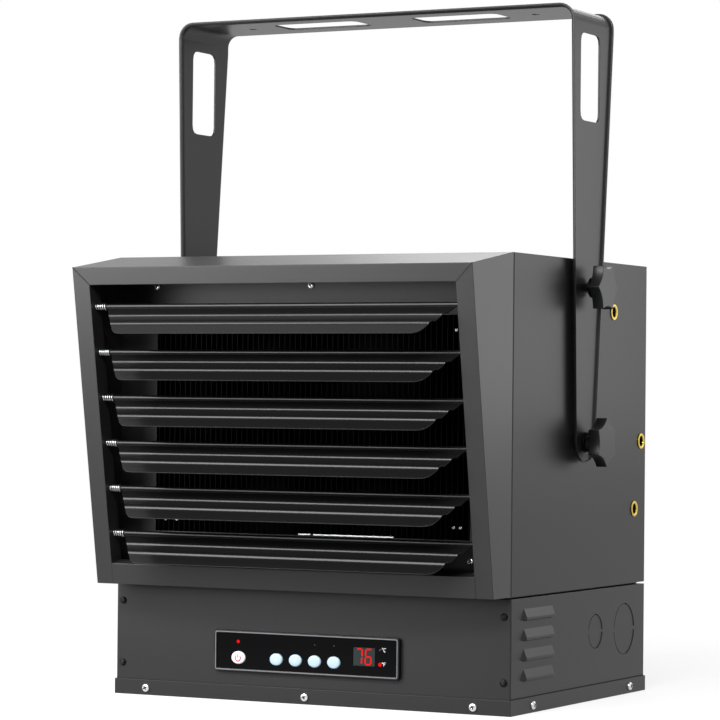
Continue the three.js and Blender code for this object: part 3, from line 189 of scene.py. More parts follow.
@dataclass(frozen=True)
class PowderCoat:
    """Satin black polyester powder coat on sheet steel.

    The powder flows out to a fine orange peel, so highlights are broad with a soft grain. The
    rounded edges of the shading give folds a thin lighter line.
    """

    name: str
    colour: str
    roughness: float = 0.36
    peel_mm: float = 1.1  # real grain of about 0.4 mm, drawn coarser so that it shows
    edge_mm: float = 0.7
    level: float = 0.22
    peel: float = 0.12
    drift_mm: float = 120.0
    drift: float = 0.1  # share by which the colour wanders over a sheet

    def build(self) -> Material:
        """Builds the node material."""
        material, tree = new_tree(self.name)
        base = linear(self.colour)[:3]
        dark, pale = (tuple(c * share for c in base) + (1.0,) for share in (1 - self.drift, 1 + self.drift))
        inputs = {"Factor": cloud(tree, self.drift_mm, 2.0), 6: dark, 7: pale}
        tint = put(tree, "ShaderNodeMix", inputs, data_type="RGBA").outputs[2]
        gloss = (self.roughness - 0.4 * self.peel, self.roughness + 0.6 * self.peel)
        surface = Grain(self.peel_mm, 3.0, gloss, self.peel, 0.1, self.edge_mm, 6).sockets(tree)
        look = {"Base Color": tint, "Specular IOR Level": self.level, **surface}
        close(tree, put(tree, "ShaderNodeBsdfPrincipled", look).outputs["BSDF"])
        return material


@dataclass(frozen=True)
class Metal:
    """Bare or plated metal whose fine grain breaks up its reflections."""

    name: str
    colour: str
    roughness: float
    grain_mm: float = 0.6
    edge_mm: float = 0.2

    def build(self) -> Material:
        """Builds the node material."""
        gloss = (max(self.roughness - 0.06, 0.03), self.roughness + 0.1)
        grain = Grain(self.grain_mm, 4.0, gloss, 0.08, 0.05, self.edge_mm)
        return principled(self.name, {"Base Color": linear(self.colour), "Metallic": 1.0}, grain)


@dataclass(frozen=True)
class Plastic:
    """Injection moulded plastic: a plain colour under a spark eroded or polished skin."""

    name: str
    colour: str
    roughness: float
    texture_mm: float = 0.8  # spark erosion grain of about 0.1 mm, drawn coarser
    texture_depth: float = 0.1
    edge_mm: float = 0.3
    ior: float = 1.5

    def build(self) -> Material:
        """Builds the node material."""
        gloss = (max(self.roughness - 0.03, 0.02), self.roughness + 0.04)
        grain = Grain(self.texture_mm, 2.0, gloss, self.texture_depth, 0.1, self.edge_mm)
        return principled(self.name, {"Base Color": linear(self.colour), "IOR": self.ior}, grain)


@dataclass(frozen=True)
class Glow:
    """A lit segment or lamp: saturated colour that gives off a little light."""

    name: str
    colour: str
    strength: float
    body: str = "300404"

    def build(self) -> Material:
        """Builds the node material."""
        inputs = {
            "Base Color": linear(self.body),
            "Roughness": 0.4,
            "Specular IOR Level": 0.0,
            "Emission Color": linear(self.colour),
            "Emission Strength": self.strength,
        }
        return principled(self.name, inputs)


class Finish(Enum):
    """Every finish on the heater."""

    COAT = PowderCoat("satin_black_powder_coat", "1a1a1a")
    HOOD_COAT = PowderCoat("satin_black_powder_coat_hood", "1d1d1d", 0.34, level=0.32, edge_mm=0.9)
    BLADE_COAT = PowderCoat("satin_black_powder_coat_blades", "0e0e0e", 0.25, edge_mm=0.25, peel=0.03)
    INNER_COAT = PowderCoat("satin_black_powder_coat_inside", "0f0f0f", 0.45)
    # Near black: real dark joint lines, and painted shade in screw recesses and inside the blade springs.
    SEAM = Plastic("dark_joint_line_and_painted_shade", "050505", 0.9)
    CHROME = Metal("bright_spring_wire", "c4c5c6", 0.2, edge_mm=0.01)
    GUARD_WIRE = Metal("plated_guard_wire", "8f9295", 0.3)
    ZINC = Metal("zinc_plated_screw_steel", "c9cbcc", 0.24)
    BLACK_SCREW = Metal("black_oxide_screw_steel", "1c1c1d", 0.35)
    # Painted shade: the fin aluminium is darkened to near black, as the fins lie deep in shade behind the
    # blades.
    FIN_ALUMINIUM = Metal("fin_aluminium_darkened_as_painted_shade", "0d0d0e", 0.5)
    ROTOR_ALUMINIUM = Metal("pressed_blade_aluminium", "96999c", 0.38)
    ELEMENT_SHEATH = Metal("stainless_element_sheath", "6d6a66", 0.4)
    WASHER_STEEL = Metal("black_oxide_washer_steel", "19191a", 0.4)
    YELLOW_ZINC = Metal("yellow_zinc_insert_steel", "c8b04a", 0.3)
    # Painted shade: the inserts' bores are darker than their flanges, for the shade down the thread.
    INSERT_BORE = Metal("shadowed_insert_thread", "1a1608", 0.5)
    KNOB = Plastic("black_glass_filled_nylon", "0f1010", 0.36, ior=1.3)
    # Painted light: a lighter copy of the knob plastic for the knobs' outer faces, which face the lamps.
    KNOB_FACE = Plastic("black_glass_filled_nylon_painted_light_face", "1a1a1a", 0.36, ior=1.31)
    PHENOLIC = Plastic("black_phenolic", "151515", 0.5)
    RIM_LINE = Plastic("silver_painted_rim_line", "55575a", 0.4)
    RIM = Plastic("black_abs_rim", "080809", 0.3, ior=1.3)
    PANEL_FACE = Plastic("anti_glare_black_acrylic", "050506", 0.08, texture_depth=0.0, ior=1.14)
    SMOKED = Plastic("smoked_display_window", "23292a", 0.12, texture_depth=0.0, ior=1.2)
    WHITE_BUTTON = Plastic("white_abs_button", "c9c6c9", 0.4)
    PALE_BUTTON = Plastic("pale_blue_abs_button", "96abb9", 0.4)
    PALE_MARK = Plastic("white_button_mark", "d3e0e8", 0.4)
    RED_MARK = Plastic("red_button_mark", "a80c24", 0.4)
    PANEL_INK = Plastic("white_panel_ink", "d5d8da", 0.5)
    LED_OFF = Plastic("unlit_red_lens", "3a0a0c", 0.2)
    LED_LIT = Glow("lit_red_lens", "f01010", 1.1)
    SEGMENT_LIT = Glow("lit_red_segment", "f0140d", 1.15)
    BOARD = Plastic("green_solder_mask", "1c5a33", 0.4)

    def material(self) -> Material:
        """The finish's material, built on first use."""
        return bpy.data.materials.get(self.value.name) or self.value.build()


# ---- mesh building
def smooth(mesh: bpy.types.Mesh, degrees: float = 35.0) -> None:
    """Shades a mesh smooth, with its creases kept sharp."""
    mesh.shade_smooth()
    mesh.set_sharp_from_angle(angle=math.radians(degrees))


def skin(
    name: str, points: Sequence[Vector], faces: list[list[int]], finish: Finish, crease: float = 35.0
) -> Object:
    """Makes a piece from points and faces.

    Args:
        name: the piece's name.
        points: corners in the row frame, in metres.
        faces: corner indices of each face.
        finish: what it is finished in.
        crease: angle in degrees above which an edge stays sharp.

    Returns:
        The piece, with its faces turned outward.
    """
    mesh = bpy.data.meshes.new(name)
    mesh.from_pydata([tuple(p) for p in points], [], [tuple(f) for f in faces])
    build = bmesh.new()
    build.from_mesh(mesh)
    bmesh.ops.recalc_face_normals(build, faces=build.faces)
    build.to_mesh(mesh)
    build.free()
    smooth(mesh, crease)
    piece = bpy.data.objects.new(name, mesh)
    bpy.context.scene.collection.objects.link(piece)
    mesh.materials.append(finish.material())
    return piece


def rings_skin(
    name: str, rings: list[list[Vector]], finish: Finish, closed: bool = False, crease: float = 35.0
) -> Object:
    """Joins rings of equally many points into a closed skin with flat ends, or into a loop."""
    count = len(rings[0])
    points = [p for ring in rings for p in ring]
    faces: list[list[int]] = []
    for i in range(len(rings) if closed else len(rings) - 1):
        ahead = ((i + 1) % len(rings)) * count
        for k in range(count):
            n = (k + 1) % count
            faces.append([i * count + k, i * count + n, ahead + n, ahead + k])
    if not closed:
        faces.append(list(range(count)))
        faces.append([(len(rings) - 1) * count + k for k in range(count)])
    return skin(name, points, faces, finish, crease)


def turned(
    name: str, profile: Sequence[Pair], centre: Point, axis: Point, finish: Finish, sides: int = 32
) -> Object:
    """Turns a profile round an axis.

    Args:
        name: the piece's name.
        profile: (radius, height along the axis) pairs in millimetres, open at both ends.
        centre: where height zero lies, in heater millimetres.
        axis: direction of growing height.
        finish: what it is finished in.
        sides: facets round the axis.

    Returns:
        The turned piece.
    """
    turn = Vector((0, 0, 1)).rotation_difference(Vector(axis)).to_matrix()
    middle = at(*centre)
    rings = [
        [middle + turn @ (Vector((radius * c, radius * s, height)) / 1000.0) for c, s in circle(sides)]
        for radius, height in profile
    ]
    return rings_skin(name, rings, finish)


def wire(
    name: str, path: list[Vector], radius_mm: float, finish: Finish, closed: bool = False, sides: int = 10
) -> Object:
    """A round wire along a path in the row frame, as a mesh tube."""
    count = len(path)
    rings = []
    normal: Vector | None = None
    for i, point in enumerate(path):
        before = path[(i - 1) % count] if closed else path[max(i - 1, 0)]
        after = path[(i + 1) % count] if closed else path[min(i + 1, count - 1)]
        tangent = (after - before).normalized()
        if normal is None:
            helper = Vector((0, 0, 1)) if abs(tangent.z) < 0.9 else Vector((0, 1, 0))
            normal = tangent.cross(helper).normalized()
        normal = (normal - tangent * normal.dot(tangent)).normalized()
        second = tangent.cross(normal)
        rings.append([point + (normal * c + second * s) * (radius_mm / 1000.0) for c, s in circle(sides)])
    return rings_skin(name, rings, finish, closed, 60.0)


def slab(name: str, outline: Sequence[Pair], front: float, back: float, finish: Finish) -> Object:
    """A flat piece on the heater's front: its outline is (x, z), its depth runs from y front to back."""
    return rings_skin(name, [[at(x, y, z) for x, z in outline] for y in (front, back)], finish)


def ride(piece: Object, body: str, slot: str, *replaced: str) -> None:
    """Lets a piece ride on a body and hides the nodes it stands for."""
    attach(piece, body)
    if replaced:
        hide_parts(*replaced)
    LOG.info("%s rides on %s", piece.name, body)


# ---- fasteners
@dataclass
class PanScrew:
    """Pan head screw with a cross recess."""

    radius: float = 3.4
    height: float = 2.2
    finish: Finish = Finish.ZINC
    slot: str = "plated_steel"
    sunk: float = 0.4
    dome: Pairs = (  # shares of the radius and of the height
        (1.0, 0.35), (0.93, 0.66), (0.74, 0.88), (0.45, 1.0), (0.3, 0.98), (0.22, 0.45),
    )
    arm: Pair = (0.55, 0.13)  # the cross arms' length and half width, as shares of the radius
    cross_turn: float = 25.0

    def row(self, name: str, spots: Sequence[Pair], y: float, axis: Point) -> None:
        """Seats a numbered screw at each (x, z) spot of a face."""
        for i, (x, z) in enumerate(spots):
            self.place(f"{name}_{i + 1}", (x, y, z), axis)

    def place(self, name: str, centre: Point, axis: Point) -> None:
        """Seats a screw with its head on a surface.

        Args:
            name: the piece's name.
            centre: middle of the head's seat, in heater millimetres.
            axis: outward direction.
        """
        r, h = self.radius, self.height
        profile = [(r, -self.sunk), *((r * a, h * b) for a, b in self.dome), (0.05, h * 0.3)]
        ride(turned(name, profile, centre, axis, self.finish, 24), "heater", self.slot)
        self._recess(name, centre, axis)

    def _recess(self, name: str, centre: Point, axis: Point) -> None:
        """Lays the cross of the recess over the head as a near-black piece: painted shade in the recess."""
        out = Vector(axis).normalized()
        side = out.cross(Vector((0, 0, 1)))
        if side.length < 0.1:
            side = out.cross(Vector((0, 1, 0)))
        side.normalize()
        up = out.cross(side)
        turn = Matrix.Rotation(math.radians(self.cross_turn), 3, out)
        side, up = turn @ side, turn @ up
        long, wide = (self.radius * share for share in self.arm)
        quarter = ((long, wide), (wide, wide), (wide, long))
        pairs = [(a * c - b * s, a * s + b * c) for c, s in circle(4) for a, b in quarter]
        middle = at(*centre)
        levels = (self.height * 0.9, self.height + 0.03)
        rings = [[middle + (side * a + up * b + out * level) / 1000.0 for a, b in pairs] for level in levels]
        ride(rings_skin(f"{name}_recess", rings, Finish.SEAM), "heater", self.slot)


# ---- sub-assemblies
@dataclass
class CoatedNodes:
    """The CAD nodes that show: they keep their shape and get their real finish."""

    nodes: dict[str, Object]
    crease: float = 28.0
    finishes: tuple[tuple[Finish, tuple[str, ...]], ...] = (  # and the starts of the nodes' names
        (Finish.COAT, ("bracket", "cabinet_shell", "control_box", "base_tray", "rear_panel")),
        (Finish.HOOD_COAT, ("hood",)),
        (Finish.INNER_COAT, ("fan_shroud", "motor_strap", "fan_motor")),
        (Finish.FIN_ALUMINIUM, ("fin_bank",)),
        (Finish.ROTOR_ALUMINIUM, ("fan_rotor",)),
        (Finish.PHENOLIC, ("limit_switch", "terminal_block", "contactor")),
        (Finish.BOARD, ("circuit_board",)),
        (Finish.PANEL_FACE, ("panel_face",)),
        (Finish.SMOKED, ("display_window",)),
        (Finish.ELEMENT_SHEATH, ("heating_rod",)),
        (Finish.WASHER_STEEL, ("pivot_washer", "lock_washer")),
    )

    def dress(self) -> None:
        """Finishes every node; those that are replaced don't show, and get the knobs' plastic."""
        for name, node in self.nodes.items():
            fitting = (finish for finish, starts in self.finishes if name.startswith(starts))
            finish = next(fitting, Finish.KNOB)
            node.data.materials.clear()
            node.data.materials.append(finish.material())
            smooth(node.data, self.crease)
            LOG.info("%s is finished in %s", name, finish.value.name)


@dataclass(frozen=True)
class RakedFront:
    """The hood's raked front, given by (y, z) of its foot and its head."""

    foot: Pair = (-31.1, 94.8)
    head: Pair = (-75.5, 358.4)

    @property
    def length(self) -> float:
        """Length of the slope."""
        return math.hypot(self.head[0] - self.foot[0], self.head[1] - self.foot[1])

    def spot(self, rise: float, out: float) -> Pair:
        """(y, z) of a place ``rise`` up the slope from its foot and ``out`` ahead of it."""
        dy = (self.head[0] - self.foot[0]) / self.length
        dz = (self.head[1] - self.foot[1]) / self.length
        return self.foot[0] + dy * rise - dz * out, self.foot[1] + dz * rise + dy * out


@dataclass(frozen=True)
class WoundSpring:
    """The compression spring at a blade's left end, on a near-black sleeve that is painted shade inside the
    coil.
    """

    start: float = -168.2
    length: float = 10.6
    lead: float = 0.5  # from the start to the first turn's middle
    radius: float = 2.6
    flare: float = 0.35  # growth of the radius toward the blade
    wire_radius: float = 0.45
    turns: float = 4.5
    steps: int = 20  # points in a turn
    phase: float = 1.2
    sleeve_start: float = -167.9
    sleeve: Pairs = ((1.55, 0.0), (1.95, 0.0), (1.95, 9.6), (1.55, 9.6))

    def build(self, label: int, y: float, z: float) -> None:
        """Winds the coil and turns its sleeve."""
        count = int(self.turns * self.steps)
        path = []
        for i in range(count + 1):
            share, a = i / count, 2 * math.pi * i / self.steps + self.phase
            x = self.start + self.lead + (self.length - 2 * self.wire_radius) * share
            r = self.radius + self.flare * share
            path.append(at(x, y + r * math.cos(a), z + r * math.sin(a)))
        coil = wire(f"wound_spring_{label}", path, self.wire_radius, Finish.CHROME)
        ride(coil, "heater", "bright_wire", f"louvre_spring_{label}")
        # Painted shade: the sleeve is near black so that the inside of the coil reads dark.
        seat = (self.sleeve_start, y, z)
        shade_sleeve = turned(f"spring_shade_sleeve_{label}", self.sleeve, seat, (1, 0, 0), Finish.SEAM, 20)
        ride(shade_sleeve, "heater", "black_plastic")


@dataclass
class LouvreBank:
    """Six pressed blades on their pivot rods, each with a wound spring at its left end."""

    front: RakedFront = RakedFront()
    spring: WoundSpring = WoundSpring()
    count: int = 6
    first: float = 42.0
    last: float = 34.0
    setback: float = 7.9
    left: float = -157.6
    right: float = 167.9
    sheet: float = 0.8
    rod: float = 2.2
    pin: float = 1.5
    pin_end: float = 173.2
    taper: float = 18.5
    corner: float = 11.5
    corner_rise: float = 5.5  # height of the round corners
    corner_pull: float = 3.0
    left_slant: float = 4.0
    cells: int = 10  # faces across the straight part of a blade
    line: Pairs = (
        (0.4, 1.6), (4.5, 2.4), (10.4, 6.9), (12.2, 6.3), (14.5, 7.3), (15.7, 9.6), (20.2, 13.3),
        (22.1, 12.9), (24.3, 14.1), (25.4, 16.3), (29.2, 19.9), (32.6, 23.1),
    )
    line_steps: int = 5

    def pivots(self) -> list[Pair]:
        """(y, z) of each pivot, lowest first."""
        pitch = (self.front.length - self.first - self.last) / (self.count - 1)
        return [self.front.spot(self.first + i * pitch, -self.setback) for i in range(self.count)]

    def build(self) -> None:
        """Builds every blade and spring."""
        for i, (y, z) in enumerate(self.pivots()):
            label = self.count - i
            blade = self._blade(f"pressed_blade_{label}", y, z)
            rod = self._rod(f"blade_rod_{label}", y, z)
            ride(blade, f"louvre_{label}", "dark_coat", f"louvre_{label}")
            ride(rod, f"louvre_{label}", "dark_coat")
            self.spring.build(label, y, z)

    def _curve(self) -> list[Vector]:
        """The blade's centre line, rounded through its ribs."""
        points = [Vector(place) for place in (self.line[0], *self.line, self.line[-1])]
        fine: list[Vector] = []
        for p0, p1, p2, p3 in zip(points, points[1:], points[2:], points[3:]):
            handles = (p1 + (p2 - p0) / 6, p2 - (p3 - p1) / 6)
            fine += interpolate_bezier(p1, *handles, p2, self.line_steps + 1)[:-1]
        return [*fine, points[-1]]

    def _ends(self, reach: float, far: float) -> Pair:
        """Left and right end of the blade at a distance from its pivot edge."""
        straight = far - self.corner_rise
        if reach <= straight:
            inset = self.taper * max(reach, 0.0) / straight
        else:
            t = 1 - math.sqrt(max(1 - (reach - straight) / (far - straight), 0.0))
            inset = self.taper + 2 * self.corner_pull * t * (1 - t) + self.corner * t * t
        slant = self.left_slant * min(max(reach, 0.0) / straight, 1.0)
        return self.left + inset + slant, self.right - inset

    def _blade(self, name: str, y: float, z: float) -> Object:
        """One pressed blade: ribbed across, slanted at its ends, with round lower corners."""
        curve = self._curve()
        tip = Vector(self.line[-1])
        far = tip.length + 0.1
        chord = tip.normalized()
        margin = self.taper + self.corner + self.left_slant + 1.0
        span = self.right - self.left - 2 * margin
        inner = [self.left + margin + span * k / self.cells for k in range(self.cells + 1)]
        sheets: list[list[Vector]] = []
        for side in (0.5, -0.5):
            points: list[Vector] = []
            for i, place in enumerate(curve):
                along = (curve[min(i + 1, len(curve) - 1)] - curve[max(i - 1, 0)]).normalized()
                moved = place + Vector((along.y, -along.x)) * (side * self.sheet)
                left, right = self._ends(place.dot(chord), far)
                points += [at(x, y - moved.x, z - moved.y) for x in (left, *inner, right)]
            sheets.append(points)
        faces = self._blade_faces(len(inner) + 2, len(curve))
        return skin(name, sheets[0] + sheets[1], faces, Finish.BLADE_COAT, 40.0)

    @staticmethod
    def _blade_faces(wide: int, tall: int) -> list[list[int]]:
        """Faces of two sheets of ``wide`` by ``tall`` points and of the rim between them."""
        total = wide * tall
        faces = [
            [start, start + 1, start + wide + 1, start + wide]
            for base in (0, total)
            for row in range(base, base + total - wide, wide)
            for start in range(row, row + wide - 1)
        ]
        rim = [*range(wide), *range(2 * wide - 1, total, wide)]
        rim += [*range(total - 2, total - wide - 1, -1), *range(total - 2 * wide, 0, -wide)]
        return faces + [[a, b, b + total, a + total] for a, b in zip(rim, rim[1:] + rim[:1])]

    def _rod(self, name: str, y: float, z: float) -> Object:
        """The curled pivot edge with its two pins."""
        span = self.right - self.left
        profile = [
            (self.pin, -self.pin_end - self.left), (self.pin, 0.0), (self.rod, 0.0), (self.rod, span),
            (self.pin, span), (self.pin, self.pin_end - self.left),
        ]
        return turned(name, profile, (self.left, y, z), (1, 0, 0), Finish.BLADE_COAT, 20)


@dataclass
class Cabinet:
    """Joint lines and screws of the hood and cabinet, and a bright strip of painted light above the sill."""

    front: RakedFront = RakedFront()
    side_bar: float = 15.3
    head_bar: float = 14.8
    foot_bar: float = 17.5
    seam: float = 1.1
    seam_levels: Pair = (-0.2, 0.04)  # from under the coat to just proud of it
    bulkhead_y: float = 1.3
    bulkhead_spots: Pairs = ((-148, 345), (0, 345), (148, 345), (148, 122), (-148, 122))
    rivet_y: float = 2.8
    rivet_spots: Pairs = ((133, 308), (132, 149), (138, 149), (-138, 149), (-127, 149))
    rear_spots: Pairs = (
        (-174, 106), (174, 106), (-174, 359), (174, 359), (-174, 232), (174, 232),
    )
    guard_y: float = 279.6
    guard_z: float = 232.4
    guard_reach: float = 121.0
    sill_runs: Pairs = ((-10.0, 1.0), (4.0, 78.0))
    sill_z: Pair = (139.1, 140.1)
    sill_y: Pair = (1.9, 2.6)

    def build(self) -> None:
        """Lays the seams, seats the screws and lays the bright strip of painted light above the sill."""
        self._frame_seams()
        PanScrew(3.0, 1.8).row("bulkhead_screw", self.bulkhead_spots, self.bulkhead_y, FRONTWARD)
        PanScrew(1.5, 1.0).row("bank_rivet", self.rivet_spots, self.rivet_y, FRONTWARD)
        self._rear_screws()
        self._gap_light_strip()

    def _strip(self, name: str, start: Pair, end: Pair) -> None:
        """A thin dark joint line on the raked front between two (x, rise) places."""
        a, b = Vector(start), Vector(end)
        across = Vector((-(b - a).y, (b - a).x)).normalized() * (self.seam / 2)
        corners = [a + across, b + across, b - across, a - across]
        rings = [[at(c.x, *self.front.spot(c.y, level)) for c in corners] for level in self.seam_levels]
        ride(rings_skin(name, rings, Finish.SEAM), "heater", "black_coat")

    def _frame_seams(self) -> None:
        """Mitres at the top corners and butt joints at the foot."""
        top = self.front.length
        for label, side in SIDES:
            inner = side * (HALF - self.side_bar)
            self._strip(f"frame_mitre_{label}", (side * HALF, top), (inner, top - self.head_bar))
            self._strip(f"frame_butt_{label}", (inner, 0.0), (inner, self.foot_bar))

    def _rear_screws(self) -> None:
        """Black screws that hold the rear panel and the fan's guard."""
        screw = PanScrew(3.4, 2.0, Finish.BLACK_SCREW)
        screw.row("rear_screw", self.rear_spots, REAR, BACKWARD)
        reach = self.guard_reach * math.sqrt(0.5)
        ways = ((1, 1), (1, -1), (-1, 1), (-1, -1))
        spots = [(x * reach, self.guard_z + z * reach) for x, z in ways]
        screw.row("guard_screw", spots, self.guard_y, BACKWARD)

    def _gap_light_strip(self) -> None:
        """A bright chrome strip above the sill: painted light where light shows through the gap under the
        bank.
        """
        low, high = self.sill_z
        for i, (x0, x1) in enumerate(self.sill_runs):
            outline = [(x0, low), (x1, low), (x1, high), (x0, high)]
            # Painted light: a chrome strip that stands for light seen through the gap.
            edge = slab(f"gap_light_strip_{i + 1}", outline, *self.sill_y, Finish.CHROME)
            ride(edge, "heater", "aluminium")


@dataclass
class FanGuard:
    """Wire guard over the intake: four rings and a middle plate on two crossed wires."""

    centre_z: float = 232.4
    radius: float = 117.0
    wire_radius: float = 1.5
    rings: int = 4
    rim: float = 4.0  # from the outer ring to the guard's edge
    overhang: float = 9.0  # of the crossed wires, past the guard's edge
    plate_share: float = 0.6  # the plate's radius, as a share of the inner ring's

    def build(self) -> None:
        """Builds the rings, the crossed wires and the middle plate."""
        spoke_y = REAR + 0.3 + self.wire_radius
        ring_y = spoke_y + self.wire_radius
        step = (self.radius - self.rim) / 4
        for i in range(self.rings):
            r = step * (i + 1)
            path = [at(r * c, ring_y, self.centre_z + r * s) for c, s in circle(72)]
            ring = wire(f"guard_ring_{i + 1}", path, self.wire_radius, Finish.GUARD_WIRE, closed=True)
            ride(ring, "heater", "guard_wire", *([] if i else ["fan_guard"]))
        reach = self.radius + self.overhang
        for i, (c, s) in enumerate(arc(45, 135, 1)):
            shares = (-reach, -0.33 * reach, 0.33 * reach, reach)
            path = [at(run * c, spoke_y, self.centre_z + run * s) for run in shares]
            spoke = wire(f"guard_spoke_{i + 1}", path, self.wire_radius, Finish.GUARD_WIRE)
            ride(spoke, "heater", "guard_wire")
        r = step * self.plate_share
        profile = [(0.1, -2.9), (r, -2.9), (r, 0.0), (r - 1.5, 0.5), (0.1, 0.5)]
        centre = (0, ring_y, self.centre_z)
        plate = turned("guard_centre", profile, centre, BACKWARD, Finish.GUARD_WIRE, 48)
        ride(plate, "heater", "guard_wire")


@dataclass
class ControlBox:
    """Joint lines, knockout cuts and screws of the control box and the base tray."""

    knockouts: tuple[tuple[str, float, float, float], ...] = (  # label, y, z and radius
        ("small", 172.0, 57.5, 14.3),
        ("large", 234.0, 56.0, 21.8),
    )
    cuts: Pairs = ((-72, -4), (4, 78))  # degrees from the back, between the bridges
    cut_radius: float = 0.7
    front: float = 1.3
    back: float = 278.7
    tray_joint: Pair = (12.7, 13.5)
    line_width: float = 1.9
    cover_spots: Pairs = ((178, 79), (178, 26.5), (-178, 79), (-178, 26.5))
    tray_z: float = 6.0
    tray_across: tuple[float, ...] = (-154.0, -1.4, 152.0)
    tray_along: Pair = (42.5, 244.6)
    tray_side: float = 185.0
    tray_back: float = 279.6

    def build(self) -> None:
        """Lays the lines and cuts and seats the screws."""
        self._belt()
        for label, side in SIDES:
            self._edge(f"cover_edge_{label}", side, 1.5, 13.5, 92.6)
            self._edge(f"hood_edge_{label}", side, 0.9, 95.2, 369.6)
        self._knockout_cuts()
        self._screws()

    def _belt(self) -> None:
        """A thin dark line round the box where it meets the tray."""
        low, high = self.tray_joint
        rings = []
        for proud, z in ((0.1, low), (0.1, high), (-0.4, high), (-0.4, low)):
            x, y0, y1 = HALF + proud, self.front - proud, self.back + proud
            rings.append([at(*p, z) for p in ((-x, y0), (x, y0), (x, y1), (-x, y1))])
        ride(rings_skin("tray_joint", rings, Finish.SEAM, closed=True), "heater", "black_coat")

    def _edge(self, name: str, side: int, y: float, low: float, high: float) -> None:
        """A thin dark upright line where the front sheet meets the side."""
        corners = ((y, low), (y + self.line_width, low), (y + self.line_width, high), (y, high))
        rings = [[at(side * x, *corner) for corner in corners] for x in (HALF - 0.2, HALF + 0.06)]
        ride(rings_skin(name, rings, Finish.SEAM), "heater", "black_coat")

    def _knockout_cuts(self) -> None:
        """The slits of the knockouts, with their bridges left between them."""
        for label, y, z, radius in self.knockouts:
            for part, (start, end) in enumerate(self.cuts):
                path = [at(HALF - 0.15, y + radius * c, z + radius * s) for c, s in arc(start, end, 16)]
                cut = wire(f"knockout_cut_{label}_{part + 1}", path, self.cut_radius, Finish.SEAM)
                ride(cut, "heater", "black_coat")

    def _screws(self) -> None:
        """Black cover screws and bright tray screws."""
        black = PanScrew(3.0, 2.0, Finish.BLACK_SCREW, "black_coat")
        black.row("cover_screw", self.cover_spots, self.front, FRONTWARD)
        silver = PanScrew(3.5)
        for i, x in enumerate(self.tray_across):
            silver.place(f"tray_screw_front_{i + 1}", (x, 0.0, self.tray_z), FRONTWARD)
            silver.place(f"tray_screw_back_{i + 1}", (x, self.tray_back, self.tray_z), BACKWARD)
        for label, side in SIDES:
            for i, y in enumerate(self.tray_along):
                seat = (side * self.tray_side, y, self.tray_z)
                silver.place(f"tray_screw_{label}_{i + 1}", seat, (side, 0, 0))


